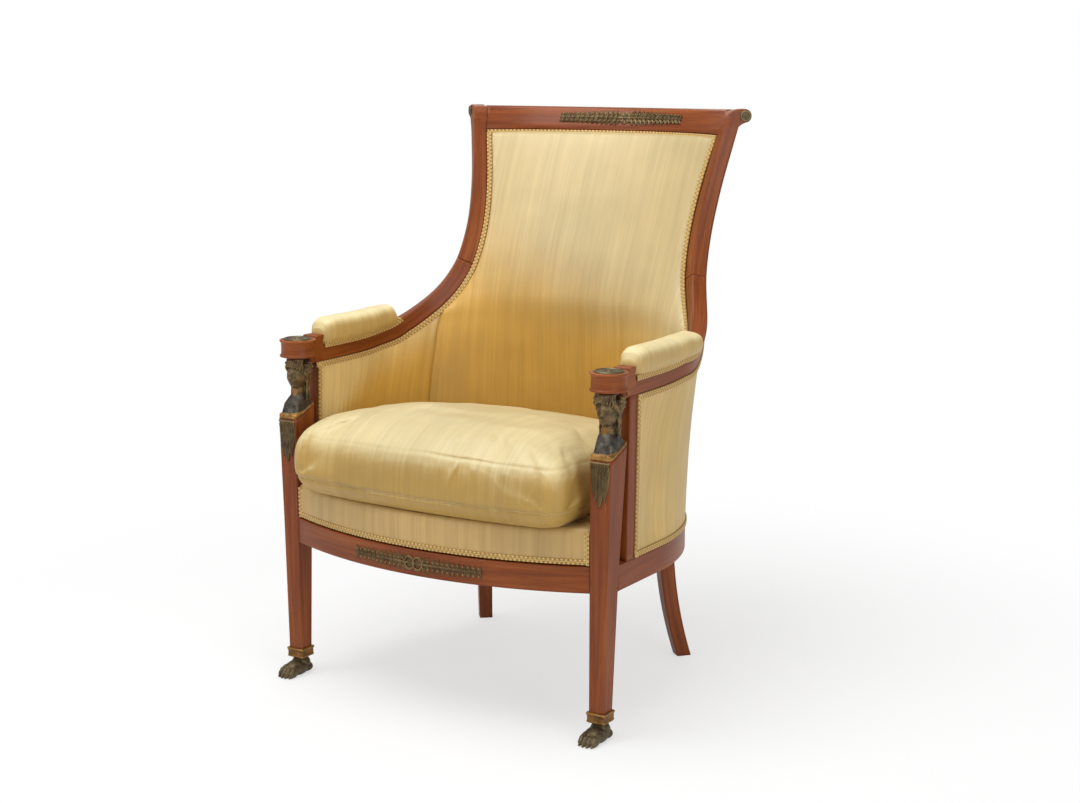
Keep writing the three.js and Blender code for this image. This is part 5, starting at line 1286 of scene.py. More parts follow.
def coordinates(mesh):
    """The mesh's points as rows."""
    flat = np.empty(len(mesh.vertices) * 3, np.float32)
    mesh.vertices.foreach_get("co", flat)
    return flat.reshape(-1, 3).astype(float)


def finished(source, kind, **settings):
    """The mesh with one modifier made real."""
    modifier = source.modifiers.new(kind.lower(), kind)
    for key, value in settings.items():
        setattr(modifier, key, value)
    bpy.context.view_layer.update()
    made = bpy.data.meshes.new_from_object(source.evaluated_get(bpy.context.evaluated_depsgraph_get()))
    source.modifiers.remove(modifier)
    source.data = made


def swollen(source, hold, cap):
    """Cloth blown up from inside: remeshed to even faces, held where hold(points) is 1, stepped through 20
    frames, and no point moves further than cap(points)."""
    finished(source, "REMESH", mode="VOXEL", voxel_size=VOXEL)
    start = coordinates(source.data)
    group = source.vertex_groups.new(name="held")
    for vertex in np.flatnonzero(hold(start)).tolist():
        group.add([vertex], 1.0, "REPLACE")
    cloth = source.modifiers.new("cloth", "CLOTH")
    cloth.settings.use_pressure, cloth.settings.uniform_pressure_force = True, PRESSURE
    cloth.settings.vertex_group_mass = "held"
    cloth.settings.tension_stiffness = cloth.settings.compression_stiffness = 12
    cloth.settings.shear_stiffness, cloth.settings.bending_stiffness = 4, 0.4
    cloth.settings.effector_weights.gravity = 0
    scene = bpy.context.scene
    for step in range(1, SIM_FRAMES + 1):
        scene.frame_set(step)
    done = source.evaluated_get(bpy.context.evaluated_depsgraph_get()).to_mesh()
    moved = coordinates(done) - start
    scene.frame_set(1)
    source.modifiers.remove(cloth)
    reach = np.linalg.norm(moved, axis=-1, keepdims=True)
    most = cap(start)[:, None]
    moved = moved * most * np.tanh(reach / most) / np.maximum(reach, 1e-9)
    source.data.vertices.foreach_set("co", (start + moved).ravel())
    source.vertex_groups.clear()
    finished(source, "SUBSURF", levels=1, render_levels=1)


# Cushion: painted light, pale on the top where it faces the lamp above, deeper gold on the front and sides.
SILK_CUSHION = silk("silk_cushion", "object", (178, 142, 68), (210, 192, 142), painted_light_on_top, 0.2)
cushion = piece("seat_cushion_shown", cushion_base(5 * mm), SILK_CUSHION, ("seat_cushion",),
                body="cushion")


def held_still(points):
    """The underside, which rests on the platform, and the sewn seam."""
    return (points[:, 2] < DECK_TOP + 3 * mm) | (np.abs(points[:, 2] - SEAM_HEIGHT) < 4 * mm)


def most_swell(points):
    """4 mm beside the arms, 5 mm more in front of them and 4 mm more on the crown."""
    in_front = np.clip((POST_FRONT + 0.02 - SHIFT - points[:, 1]) / 0.05, 0, 1)
    return 4 * mm + 5 * mm * in_front + 4 * mm * np.clip((points[:, 2] - CROWN_LOW) / 0.03, 0, 1)


swollen(cushion, held_still, most_swell)


def creased(points):
    """Draws the seams in and gathers the cloth along them. A seam is a groove exp(-(z - s)^2 / w^2); the
    gathers are waves along the cushion's edge that fade with the distance from the seam; a few long
    shallow folds cross the crown."""
    x, y, z = points.T
    centre = np.array([0, points[:, 1].mean()])
    out = points[:, :2] - centre
    angle = np.arctan2(out[:, 0], -out[:, 1])
    outwards = unit(np.stack([out[:, 0] / CUSHION_HALF, out[:, 1] / HALF_DEPTH], -1))
    along = angle * MEAN_RADIUS
    draw = np.random.default_rng(21)
    phases = draw.uniform(0, 2 * np.pi, 12)
    pitches = (0.021, 0.033, 0.047, 0.074)
    wave = sum(np.sin(along * 2 * np.pi / pitch + phase) for pitch, phase in zip(pitches, phases)) / 4
    uneven = 0.5 + 0.5 * np.sin(along * 2 * np.pi / 0.19 + phases[5])
    right = np.exp(-((angle - 0.45) / 0.35)**2)
    seam = np.exp(-((z - SEAM_HEIGHT) / (2.7 * mm))**2)
    gather = wave * np.exp(-np.abs(z - SEAM_HEIGHT) / (16 * mm)) * (0.6 + uneven)
    crease_height = DECK_TOP + 104 * mm - 6 * mm * np.abs(angle)
    above = z - crease_height
    crease = np.exp(-(above / (2.4 * mm))**2) * (0.25 + 0.75 * right) * (np.abs(angle) < 1.2)
    folds = wave * np.exp(-np.abs(above + 14 * mm) / (16 * mm)) * (0.3 + 1.3 * right)
    fold = np.exp(-((x - 0.085 - (z - 0.44) * 0.35) / (4 * mm))**2)
    fold = fold * np.exp(-((z - 0.43) / (22 * mm))**2) * (y < -0.2)
    push = -3.4 * mm * seam + 1.2 * mm * gather - 2.2 * mm * crease + 1.9 * mm * folds + 3 * mm * fold
    flank = np.clip((z - DECK_TOP - 4 * mm) / (6 * mm), 0, 1) * np.clip((CROWN_TOP - z) / (20 * mm), 0, 1)
    push = push * flank
    crown = ripple(x, y, 2.4 * mm, 31) * np.clip((z - DECK_TOP - 60 * mm) / (40 * mm), 0, 1)
    return points + np.column_stack([outwards * push[:, None], crown])


cushion.data.vertices.foreach_set("co", creased(coordinates(cushion.data)).ravel())
cushion.data.update()
cushion.data.polygons.foreach_set("use_smooth", np.ones(len(cushion.data.polygons), bool))


def welt():
    """The welt: a cord of 1.4 mm radius covered with silk, laid in the lower seam. Rays from the cushion's
    middle find the surface at the seam's height."""
    surface = BVHTree.FromObject(cushion, bpy.context.evaluated_depsgraph_get())
    turn = np.linspace(0, 2 * np.pi, 721)[:-1]
    middle = Vector((0, -0.08, SEAM_HEIGHT))
    rays = [Vector((math.sin(t), -math.cos(t), 0)) for t in turn.tolist()]
    hits = np.array([surface.ray_cast(middle, ray)[0] for ray in rays])
    hits = hits + unit((hits - np.array(middle)) * [1, 1, 0]) * 0.2 * mm
    along = unit(np.roll(hits, -1, 0) - np.roll(hits, 1, 0))
    across = np.tile([0.0, 0, 1], (len(hits), 1))
    round_cord = np.arange(8) * np.pi / 4
    section = 1.4 * mm * np.stack([np.cos(round_cord), np.sin(round_cord)], -1)[None]
    section = section * np.ones((len(hits), 1, 1))
    ring = carried(hits + [0, SHIFT, 0], across, unit(np.cross(along, across)), section)
    return np.concatenate([ring, ring[:1]])


piece("cushion_welt", welt(), SILK_CUSHION, body="cushion", ends=False)


# Bronze: cast, chased and patinated brown, rubbed back to gold on what stands out. The collars on the
# front feet are gilt.
def patinated(name, dark, light, rubbed):
    """Dark brown-green patina with cloudy patches. Wear, found from the curvature, shows lighter metal."""
    finish = Finish(name)
    at = finish.objects()
    clouds = finish.noise(at, 60, 3, 0.6)
    fine_clouds = finish.noise(at, 320, 2)
    worn = finish.node("NewGeometry", {}, 7)
    edges = finish.node("MapRange", {}, 0, i0=worn, i1=0.5, i2=0.58, i3=0.0, i4=1.0)
    patina = finish.ramp(clouds * 0.7 + fine_clouds * 0.3, (0.35, dark), (0.62, light))
    shown = finish.mix(edges * 0.5 + clouds * 0.12, patina, rubbed)
    bump = finish.node("Bump", {}, 0, Strength=0.25, Distance=0.0003, Height=fine_clouds)
    return finish.show(finish.node("BsdfPrincipled", {}, 0, Base_Color=shown, Metallic=0.85 - clouds * 0.3,
                                   Roughness=0.34 + fine_clouds * 0.22, Normal=bump, Specular_IOR_Level=0.5))


BRONZE = patinated("bronze", hue(52, 47, 37), hue(96, 86, 65), hue(158, 132, 84))
GILT = patinated("gilt", hue(86, 54, 24), hue(134, 90, 42), hue(198, 154, 86))
FOOT_X, FOOT_Y = LEG_INNER + 14 * mm, LEG_FRONT + 14.5 * mm


def ball(x, y, z, rx, ry, rz, around=28, up=18):
    """An ellipsoid as rings from pole to pole."""
    rise = np.linspace(-np.pi / 2, np.pi / 2, up)[1:-1]
    turn = np.arange(around) * 2 * np.pi / around
    return np.stack([x + rx * np.cos(rise)[:, None] * np.cos(turn),
                     y + ry * np.cos(rise)[:, None] * np.sin(turn),
                     z + rz * np.sin(rise)[:, None] * np.ones(around)], -1)


def melted(name, grids, finish, node, voxel, smooth):
    """Several closed forms run into one casting: joined, remeshed to one skin and smoothed."""
    parts = [piece(f"{name}_part_{k}", grid, finish) for k, grid in enumerate(grids)]
    made = joined(parts, name)
    finished(made, "REMESH", mode="VOXEL", voxel_size=voxel)
    finished(made, "SMOOTH", factor=0.5, iterations=smooth)
    made.data.polygons.foreach_set("use_smooth", np.ones(len(made.data.polygons), bool))
    made.data.materials.clear()
    made.data.materials.append(finish)
    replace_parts(made, node)


def foot_collar():
    """A square sleeve round the leg's end with a moulding at its top: rounded squares at rising heights."""
    low = 31.3 * mm
    rows = [(0, 0), (0, 0.6), (0.6, 1.2), (0.6, 2.6), (0, 3.4), (0, 12.2), (0.9, 13.2), (1.3, 14.4),
            (1.3, 15.8), (0.7, 16.8), (0, 17)]
    rings = []
    for out, rise in rows:
        half = (16.5 + out) * mm
        deep = half + 0.3 * mm
        section = eased(FOOT_X - half, FOOT_X + half, FOOT_Y - deep, FOOT_Y + deep, 2.4 * mm)
        rings.append(np.concatenate([section, np.full((len(section), 1), low + rise * mm)], 1))
    return np.stack(rings)


def paw():
    """A lion's paw: arched foot, heel and four toes with knuckles and claws, as overlapping ellipsoids."""
    back = LEG_FRONT + 31 * mm
    toe_y = back - 57.5 * mm
    grids = [
        ball(FOOT_X, back - 28.8 * mm, 11.5 * mm, 18.6 * mm, 27 * mm, 14 * mm),
        ball(FOOT_X, FOOT_Y, 16.5 * mm, 16.8 * mm, 17.5 * mm, 16.5 * mm),
        ball(FOOT_X, FOOT_Y + 6 * mm, 9.4 * mm, 18.4 * mm, 15.8 * mm, 9.8 * mm),
    ]
    for k in (-1.5, -0.5, 0.5, 1.5):
        x, y = FOOT_X + k * 7.8 * mm, toe_y + abs(k) * 2.8 * mm
        grids.append(ball(x, y + 2 * mm, 9 * mm, 5.7 * mm, 9.5 * mm, 8.8 * mm))
        grids.append(ball(x, y - 4 * mm, 6.8 * mm, 5 * mm, 6.5 * mm, 6.6 * mm))
        grids.append(ball(x, y + 9 * mm, 12.2 * mm, 5 * mm, 11 * mm, 7.6 * mm))
        grids.append(ball(x, y - 9.2 * mm, 3.6 * mm, 1.9 * mm, 4.2 * mm, 3.2 * mm))
    return grids


pair("foot_collar", foot_collar(), GILT)
for side, turn in SIDES:
    on_floor = [turn(np.concatenate([grid[..., :2], np.maximum(grid[..., 2:], 0.0)], -1)) for grid in paw()]
    melted(f"paw_foot_{side}_shown", on_floor, BRONZE, f"paw_foot_{side}", 0.9 * mm, 3)


# Rosettes on the drums: a cast bronze dish with two rings round eight chased petals and a button, pinned
# to the drum's top.
def drum_rosette():
    """Height over the disc as a function of radius r and angle a: rings at the rim, petals that are ridged
    with |cos 4a|, and a round button."""
    r = np.concatenate([
        np.linspace(1, 0.8, 12), np.linspace(0.8, 0.2, 30)[1:], np.linspace(0.2, 0.02, 10)[1:],
    ])[:, None]
    a = np.arange(128)[None] * 2 * np.pi / 128
    rim = 2.0 * np.exp(-((r - 0.93) / 0.045)**2) + 1.2 * np.exp(-((r - 0.83) / 0.02)**2)
    petal = np.abs(np.cos(4 * a))**0.6 * np.sin(np.pi * np.clip((r - 0.2) / 0.6, 0, 1))**0.8
    vein = 0.5 * np.exp(-(np.sin(4 * a) / 0.12)**2) * (np.sin(np.pi * np.clip((r - 0.2) / 0.6, 0, 1)) > 0.3)
    button = 2.4 * np.sqrt(np.clip(1 - (r / 0.2)**2, 0, 1))
    height = 0.5 + rim + 1.7 * petal - vein + button
    z = DRUM_HIGH + 0.1 * mm + height * mm * np.ones_like(a)
    radius = 24.5 * mm
    top = np.stack([DRUM_X + radius * r * np.cos(a), DRUM_Y + radius * r * np.sin(a),
                    z * np.ones_like(a)], -1)
    foot = top[:1] * [1, 1, 0] + [0, 0, DRUM_HIGH + 0.1 * mm]
    return np.concatenate([foot, top])


pair("drum_rosette", drum_rosette(), BRONZE)


# Mounts: thin castings pinned to the wood, built of single leaves laid over each other from the ends to
# a rosette in the middle.
def leaf(length, width, bend=0.0, thick=1.5 * mm, ribs=5):
    """A leaf as (u, v, w) over a grid: half width W sin(pi t)^0.8 (1.3 - 0.6 t), a ridge along the middle,
    side veins, tip curled up; its edge drops to the ground so that it is closed below."""
    t = np.linspace(0, 1, 22)[:, None]
    s = np.array([-1, -0.97, -0.72, -0.4, -0.12, 0, 0.12, 0.4, 0.72, 0.97, 1])[None]
    half = width / 2 * (np.sin(np.pi * t**0.8)**0.75 * (1.25 - 0.5 * t) + 0.06)
    half = half * (1 - 0.1 * np.abs(np.sin(np.pi * ribs * t)))
    u = length * t + 0 * s
    v = half * s + bend * length * t**2
    veins = 0.12 * np.cos(2 * np.pi * ribs * (t - 0.25 * np.abs(s)))
    body = (1 - s**2) * 0.55 + 0.45 * np.exp(-(s / 0.16)**2) + veins
    w = thick * np.clip(body * (0.55 + 0.45 * np.sin(np.pi * t)) + 0.35 * t**3, 0.12, None)
    w = w * (np.abs(s) < 0.99)
    return np.stack([u, v, w], -1)


def laid_leaf(at, angle, grid, lift=0.0):
    """The leaf turned by an angle in the face's plane and moved to (u, v) on it."""
    cos, sin = math.cos(angle), math.sin(angle)
    u, v, w = grid[..., 0], grid[..., 1], grid[..., 2]
    return np.stack([at[0] + u * cos - v * sin, at[1] + u * sin + v * cos, w + lift * (w > 0)], -1)


def disc_form(at, radius, petals=8):
    """A small rosette: petals ridged round a button."""
    r = np.linspace(1, 0.04, 16)[:, None]
    a = np.arange(48)[None] * 2 * np.pi / 48
    edge = radius * r * (1 - 0.1 * (1 - np.abs(np.cos(petals * a / 2))) * (r > 0.5))
    ridges = 0.4 * np.abs(np.cos(petals * a / 2))**0.7 * np.sin(np.pi * np.clip((r - 0.3) / 0.7, 0, 1))
    w = 2.6 * mm * (0.35 + ridges + 0.65 * np.sqrt(np.clip(1 - (r / 0.3)**2, 0, 1))) * (r < 0.999)
    return np.stack([at[0] + edge * np.cos(a), at[1] + edge * np.sin(a), w + 0 * a], -1)


def mount(node, forms, onto):
    """The forms, each mapped onto the wood's face, as one piece that stands for the node."""
    parts = [piece(f"{node}_part_{k}", onto(form[..., 0], form[..., 1], form[..., 2]), MOUNT)
             for k, form in enumerate(forms)]
    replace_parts(joined(parts, f"{node}_shown"), node)


MOUNT = patinated("bronze_mounts", hue(48, 37, 24), hue(90, 74, 49), hue(166, 138, 90))
STEM_TURNS = np.arange(10) * np.pi / 5
STEM_ROUND = np.stack([np.cos(STEM_TURNS), np.sin(STEM_TURNS)], -1)[None]


def stem_form(path, thick):
    """A round stem of the given radii along a path of (u, v, w)."""
    steps = len(path)
    section = np.broadcast_to(thick, steps)[:, None, None] * STEM_ROUND
    return carried(path, np.tile([0, 1.0, 0], (steps, 1)), np.tile([0, 0, 1.0], (steps, 1)), section)


def branch(side, start, reach, pairs, size, spread):
    """A laurel branch: pairs of leaves on both sides of a stem and a berry at each pair's foot."""
    forms = []
    for k in range(pairs - 1, -1, -1):
        t = k / (pairs - 1)
        u = side * (start + reach * t)
        for row in (-1, 1):
            angle = (0 if side > 0 else math.pi) + side * row * (spread - 0.3 * t)
            outer_leaf = leaf(size * (1 - 0.28 * t), size * 0.44, 0.12 * side * row, ribs=3)
            forms.append(laid_leaf((u, row * 0.6 * mm), angle, outer_leaf, (0.4 + 0.5 * (k % 2)) * mm))
            berry = ball(u + side * 3.4 * mm, row * 6.6 * mm, 2.2 * mm, 1.7 * mm, 1.7 * mm, 1.8 * mm, 10, 7)
            forms.append(berry)
        small_leaf = leaf(size * 0.62, size * 0.3, ribs=2)
        forms.append(laid_leaf((u, 0), 0 if side > 0 else math.pi, small_leaf, 1.5 * mm))
    t = np.linspace(0, 1, 30)
    path = np.stack([side * (start - 6 * mm + (reach + 6 * mm) * t), 0 * t, np.full(30, 1.0 * mm)], -1)
    return forms + [stem_form(path, (1.6 - 0.8 * t) * mm)]


crest_forms = [form for side in (-1, 1) for form in branch(side, 9 * mm, 116 * mm, 13, 17 * mm, 0.8)]
crest_forms.append(disc_form((0, 0), 12 * mm))
CREST_MIDDLE = CREST_LOW + 22.5 * mm
mount("crest_mount", crest_forms,
      lambda u, v, w: wall(1 + u / (WALL_HALF * np.pi / 2), CREST_MIDDLE + v, 2.8 * mm - w))

rail_forms = [form for side in (-1, 1) for form in branch(side, 17 * mm, 104 * mm, 12, 15 * mm, 1.15)]
ring_turn = np.linspace(0, 2 * np.pi, 49)
beads = (1.9 + 0.45 * np.cos(ring_turn * 16))[:, None, None] * mm * STEM_ROUND
wreath = np.stack([9 * np.cos(ring_turn), 10.5 * np.sin(ring_turn), 1.2 + 0 * ring_turn], -1) * mm
for middle_u in (-8.5 * mm, 8.5 * mm):
    rail_forms.append(carried(wreath + [middle_u, 0, 0], unit(wreath * [1, 1, 0]),
                              np.tile([0, 0, 1.0], (49, 1)), beads))
    rail_forms.append(disc_form((middle_u, 0), 6.5 * mm, 6))
RAIL_MIDDLE = (RAIL_LOW + RAIL_TOP) / 2
mount("rail_mount", rail_forms, lambda u, v, w: bow(u, -0.2 * mm - w, RAIL_MIDDLE + v))


# Palmettes: one casting at the head of each front leg, below the bust: acanthus leaves that hang from a
# bar in three tiers, the middle one longest, their tips free.
LEG_HEAD = ARM - 108 * mm
LEAF_TIERS = (
    (69, 17, 0, 0, 0), (60, 14, 5.0, 0.03, 0.03), (47, 12, 9.2, 0.045, 0.03), (33, 9, 12.4, 0.05, 0),
)


def palmette():
    """A plate whose half width falls as 1 - t^1.6, and on it the tiers of leaves (length, width, distance
    from the middle, turn, bend), shortest first, five short leaves below the bar, and the bar."""
    hanging = -math.pi / 2
    t = np.linspace(0, 1, 24)[:, None]
    half = 15.5 * mm * (1 - np.clip((t - 0.25) / 0.75, 0, 1)**1.6) + 0.4 * mm
    across = np.array([-1, -0.98, 0, 0.98, 1])[None]
    forms = [np.stack([half * across, (-2 - 60 * t) * mm + 0 * across,
                       0.9 * mm * (np.abs(across) < 0.99) + 0 * t], -1)]
    for k in (3, 2, 1, 0):
        length, width, aside, turn, bend = LEAF_TIERS[k]
        for sign in ((-1, 1) if k else (1,)):
            one = leaf(length * mm, width * mm, sign * bend, 1.8 * mm, 7)
            lift = (1.8 - 0.5 * k) * mm
            forms.append(laid_leaf((sign * aside * mm, -5 * mm), hanging + sign * turn, one, lift))
    short = leaf(19 * mm, 7.4 * mm, 0, 1.8 * mm, 3)
    forms += [laid_leaf((k * 6.4 * mm, -2.5 * mm), hanging, short, 2.4 * mm) for k in (-2, -1, 0, 1, 2)]
    bar = np.linspace(-17.2, 17.2, 20)
    forms.append(stem_form(np.stack([bar, np.full(20, -2.6), np.full(20, 1.2)], -1) * mm, 2.0 * mm))
    return forms


palmette_forms, palmette_middle = palmette(), LEG_INNER + 19.4 * mm
for side, sign in (("right", 1), ("left", -1)):
    mount(f"palmette_{side}", palmette_forms, lambda u, v, w: np.stack([
        sign * (palmette_middle + u), LEG_FRONT - 0.1 * mm - w, LEG_HEAD - 1 * mm + v], -1))


# Busts: cast bronze women's heads on draped shoulders, each standing on a leg and carrying the drum. The
# face is a plain classical one; the hair has curls over the brow, a bun over each ear and locks behind.
BUST_TOP = ARM
SHOULDER = LEG_HEAD + 0.343 * (BUST_TOP - LEG_HEAD)
HEAD_Z = LEG_HEAD + 0.69 * (BUST_TOP - LEG_HEAD)
FACE_WIDE, FACE_DEEP, FACE_TALL = 17 * mm, 19 * mm, 25 * mm


def oval(x, y, rx, ry, power, z, around=40):
    """A ring between a circle (power 1) and a square (power 0): |cos|^power and |sin|^power."""
    turn = (np.arange(around) + 0.5) * 2 * np.pi / around
    soft = lambda value: np.sign(value) * np.abs(value)**power
    px, py = x + rx * soft(np.cos(turn)), y + ry * soft(np.sin(turn))
    return np.stack([px, py, z(px, py) if callable(z) else np.full(around, z)], -1)


def torso():
    """Rings from the leg's sloping head up to the neck: a band that is deeper and arched in front, a bib
    that hollows inwards, the neck."""
    x, y = LEG_INNER + 19.5 * mm, LEG_FRONT + 26 * mm

    def slope(py):
        return LEG_HEAD + 22 * mm * (py - LEG_FRONT) / (52 * mm)

    def band(share):
        front = lambda py: np.clip((y - py) / (26 * mm), 0, 1)**2
        return lambda px, py: slope(py) + share * (4 + front(py) * (7 - 3 * ((px - x) / (20 * mm))**2)) * mm

    def part(share):
        return lambda px, py: slope(py) + share * (SHOULDER + 3 * mm - slope(py))

    return np.stack([
        oval(x, y, 19.5 * mm, 26 * mm, 0.3, band(0.06)),
        oval(x, y, 20.8 * mm, 27.4 * mm, 0.3, band(0.2)),
        oval(x, y, 21.0 * mm, 27.6 * mm, 0.3, band(0.8)),
        oval(x, y, 20.0 * mm, 26.6 * mm, 0.32, band(1.0)),
        oval(x, y, 18.4 * mm, 24.4 * mm, 0.4, band(1.06)),
        oval(x, y + 1 * mm, 16.8 * mm, 21 * mm, 0.55, part(0.6)),
        oval(DRUM_X, DRUM_Y, 15.6 * mm, 17.4 * mm, 0.75, SHOULDER - 1 * mm),
        oval(DRUM_X, DRUM_Y, 12.6 * mm, 13.6 * mm, 0.9, SHOULDER + 4 * mm),
        oval(DRUM_X, DRUM_Y - 1 * mm, 10.4 * mm, 10.8 * mm, 1, SHOULDER + 9 * mm),
        oval(DRUM_X, DRUM_Y - 1.5 * mm, 10 * mm, 10.4 * mm, 1, HEAD_Z - 10 * mm),
    ])


def face():
    """An ellipsoid whose radius gets the features as smooth bumps over two angles, the turn from the front
    and the rise: brow, nose, cheeks, lips and chin stand out, eye sockets and the line of the mouth go
    in."""
    turn = np.linspace(-np.pi, np.pi, 145)[None, :-1]
    rise = np.linspace(-np.pi / 2, np.pi / 2, 100)[1:-1, None]

    def bump(size, at_turn, at_rise, wide, tall):
        near = np.exp(-((np.abs(turn) - at_turn) / wide)**2 - ((rise - at_rise) / tall)**2)
        return size * near

    r = (1 + bump(0.06, 0, 0.3, 0.65, 0.1) - bump(0.11, 0.38, 0.13, 0.17, 0.09)
         + bump(0.06, 0.38, 0.1, 0.1, 0.05) + bump(0.1, 0, 0.12, 0.09, 0.16)
         + bump(0.2, 0, -0.09, 0.12, 0.09) + bump(0.04, 0.55, -0.15, 0.22, 0.18)
         + bump(0.08, 0, -0.34, 0.2, 0.04) + bump(0.08, 0, -0.48, 0.17, 0.05)
         - bump(0.08, 0, -0.41, 0.24, 0.022) - bump(0.05, 0, -0.6, 0.22, 0.05)
         + bump(0.12, 0, -0.82, 0.26, 0.16) - bump(0.05, 1.0, -0.5, 0.4, 0.3))
    narrow = 1 - 0.14 * np.clip(-rise / (np.pi / 2), 0, 1)
    x = DRUM_X + FACE_WIDE * r * narrow * np.cos(rise) * np.sin(turn)
    y = DRUM_Y - 3.5 * mm - FACE_DEEP * r * np.cos(rise) * np.cos(turn)
    return np.stack([x, y, HEAD_Z + FACE_TALL * r * np.sin(rise) + 0 * turn], -1)


def hair_cap():
    """The hair over the skull, combed down from the crown in ridges, radius 1 + 0.07 |sin 11 turn|. Its
    lower rim is high over the brow and low at the nape."""
    turn = np.linspace(-np.pi, np.pi, 241)[None, :-1]
    low = 0.5 - 1.3 * smooth_step(np.abs(turn), 0.6, 2.0)
    rise = low + (np.pi / 2 - 0.05 - low) * np.linspace(0, 1, 60)[:, None]
    ridges = 1 + 0.07 * np.abs(np.sin(turn * 11 + 0.5 * np.sin(rise * 3))) * np.clip(np.cos(rise) * 2, 0, 1)
    x = DRUM_X + 20.5 * mm * ridges * np.cos(rise) * np.sin(turn)
    y = DRUM_Y + 1 * mm - 22 * mm * ridges * np.cos(rise) * np.cos(turn)
    return np.stack([x, y, HEAD_Z + 5 * mm + 23 * mm * ridges * np.sin(rise) + 0 * turn], -1)


def hair_mantle():
    """The hair behind the neck, falling on the shoulders: an oval tube with ridges all round."""
    t = np.linspace(0, 1, 30)[:, None]
    a = np.linspace(0, 2 * np.pi, 145)[None, :-1]
    wide = (16.5 - 4.5 * np.sin(np.pi * t) - 1.5 * t) * mm * (1 + 0.08 * np.abs(np.sin(9 * a + 1.2 * t)))
    deep = (12.5 - 2 * np.sin(np.pi * t)) * mm * (1 + 0.08 * np.abs(np.sin(9 * a + 1.2 * t)))
    z = HEAD_Z + (SHOULDER - 2 * mm - HEAD_Z) * t
    return np.stack([DRUM_X + wide * np.cos(a), DRUM_Y + 10 * mm + deep * np.sin(a), z + 0 * a], -1)


def lock_of_hair(start, end, radius, twist=4.0):
    """A hanging lock: a tube from start to end that thins downwards, with a spiral groove."""
    t = np.linspace(0, 1, 26)[:, None]
    path = np.asarray(start) + (np.asarray(end) - np.asarray(start)) * t
    a = np.arange(16) * np.pi / 8
    size = radius * (1 - 0.4 * t) * (1 + 0.16 * np.cos(2 * a[None] + twist * 2 * np.pi * t))
    section = np.stack([size * np.cos(a), size * np.sin(a)], -1)
    return carried(path, np.tile([1.0, 0, 0], (26, 1)), np.tile([0, 1.0, 0], (26, 1)), section)


def bust():
    """All the closed forms of one bust: torso, face, hair, a coil of small balls over each ear with two
    locks behind it, eleven short curls over the brow and the capping disc under the drum."""
    grids = [torso(), face(), hair_cap(), hair_mantle()]
    coil_z = BUST_TOP - 17 * mm
    for side in (-1, 1):
        grids.append(ball(DRUM_X + side * 20.5 * mm, DRUM_Y + 2 * mm, coil_z, 6.5 * mm, 7 * mm, 9 * mm))
        for k in range(7):
            angle = k * 2 * np.pi / 7
            grids.append(ball(DRUM_X + side * 21.5 * mm, DRUM_Y + (2 + 6.2 * math.cos(angle)) * mm,
                              coil_z + 8.2 * mm * math.sin(angle), 5.6 * mm, 3.3 * mm, 3.7 * mm, 16, 12))
        for k in range(2):
            grids.append(lock_of_hair(
                [DRUM_X + side * (17 - 0.5 * k) * mm, DRUM_Y + (8 - 3.5 * k) * mm, coil_z - 8 * mm],
                [DRUM_X + side * (15.5 + 1.5 * k) * mm, DRUM_Y + (8 - 7 * k) * mm,
                 SHOULDER - (2 + 3 * k) * mm], 2.9 * mm))
    for k in range(11):
        turn = (k - 5) * 0.235
        side_x, front_y = math.sin(turn), math.cos(turn)
        fall = BUST_TOP - (15.5 + 0.4 * (k - 5)**2) * mm
        grids.append(lock_of_hair(
            [DRUM_X + 15.0 * mm * side_x, DRUM_Y - 0.5 * mm - 17 * mm * front_y, BUST_TOP - 3 * mm],
            [DRUM_X + 19.0 * mm * side_x, DRUM_Y - 2.5 * mm - 20.5 * mm * front_y, fall], 2.9 * mm, 1.5))
    disc = np.array([(0, 14.2), (0, 15.4), (1.2, 16), (4.2, 16), (5, 15.4), (5, 14.2)]) * mm
    grids.append(turned(np.array([DRUM_X, DRUM_Y, BUST_TOP - 5 * mm]), np.array([0.0, 0, 1]), disc))
    return grids


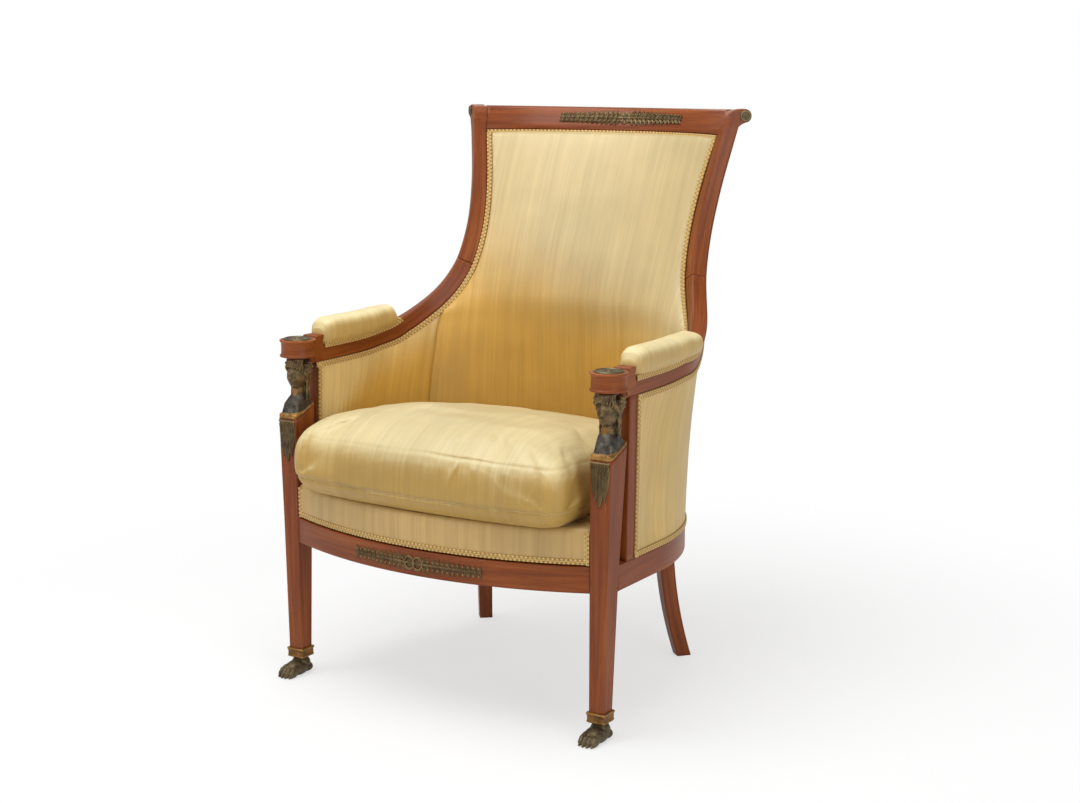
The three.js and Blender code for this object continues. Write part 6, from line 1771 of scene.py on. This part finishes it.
def bust_bronze():
    """Patinated as the rest; gold on the band round the foot and a golden patch at the throat, the bib
    blue-black.
    """
    finish = Finish("bronze_bust")
    at = finish.objects()
    clouds, specks = finish.noise(at, 90, 3, 0.6), finish.noise(at, 420, 2)
    across, depth, height = (finish.node("SeparateXYZ", {}, k, Vector=at) for k in range(3))
    across = finish.node("Math", {"operation": "ABSOLUTE"}, 0, i0=across)
    above = height - ((depth + SHIFT - LEG_FRONT) * (22 / 52) + LEG_HEAD)

    def between(value, low, high):
        return finish.node("MapRange", {"interpolation_type": "SMOOTHSTEP"}, 0,
                           i0=value, i1=low, i2=high, i3=0.0, i4=1.0)

    front = between((LEG_FRONT + 26 * mm - SHIFT) - depth, 0.0, 26 * mm)
    band = 1 - between(above + (clouds - 0.5) * 0.002 - front * 6 * mm, 3.6 * mm, 5.2 * mm)
    bib = (1 - between(height, SHOULDER - 2 * mm, SHOULDER + 9 * mm)) * (1 - band)
    aside, below = (across - DRUM_X) * (1 / (6.5 * mm)), (height - SHOULDER - 9 * mm) * (1 / (7 * mm))
    forward = 1 - between(depth + SHIFT, DRUM_Y - 7 * mm, DRUM_Y - 3 * mm)
    throat = between(1.5 - aside * aside - below * below + (clouds - 0.5) * 1.5, 0.0, 1.5) * forward
    worn = between(finish.node("NewGeometry", {}, 7), 0.5, 0.57)
    shown = finish.ramp(clouds * 0.7 + specks * 0.3, (0.35, hue(60, 47, 32)), (0.62, hue(124, 102, 66)))
    blue_black = finish.ramp(clouds, (0.35, hue(40, 40, 42)), (0.65, hue(78, 76, 72)))
    shown = finish.mix(bib * 0.8, shown, blue_black)
    shown = finish.mix(worn * 0.55, shown, hue(170, 140, 92))
    shown = finish.mix(throat * 0.6, shown, hue(172, 116, 56))
    gold = finish.ramp(clouds, (0.3, hue(112, 76, 34)), (0.6, hue(176, 130, 62)))
    shown = finish.mix(band * 0.85, shown, gold)
    bump = finish.node("Bump", {}, 0, Strength=0.25, Distance=0.0003, Height=specks)
    return finish.show(finish.node("BsdfPrincipled", {}, 0, Base_Color=shown, Metallic=0.75 - clouds * 0.3,
                                   Roughness=0.32 + specks * 0.22, Normal=bump, Specular_IOR_Level=0.5))


BUST_BRONZE = bust_bronze()
for side, turn in SIDES:
    melted(f"bust_{side}_shown", [turn(grid) for grid in bust()], BUST_BRONZE, f"bust_{side}", 0.55 * mm, 1)


# Scroll discs: small turned discs of dark bronze with a ring and a button, set into the round ends of the
# back posts' scrolls.
outer_end = scroll_axis if scroll_axis[0] > 0 else -scroll_axis
scroll_disc = turned(scroll_place, outer_end, np.array([
    [11.5, 0.4], [14.8, 9.8], [15.3, 9.3], [15.3, 7.2], [14.9, 6.6], [14.9, 2.6], [15.4, 1.8], [15.5, 0.3],
]) * mm)
for side, turn in SIDES:
    piece(f"scroll_disc_{side}", turn(scroll_disc), BRONZE)
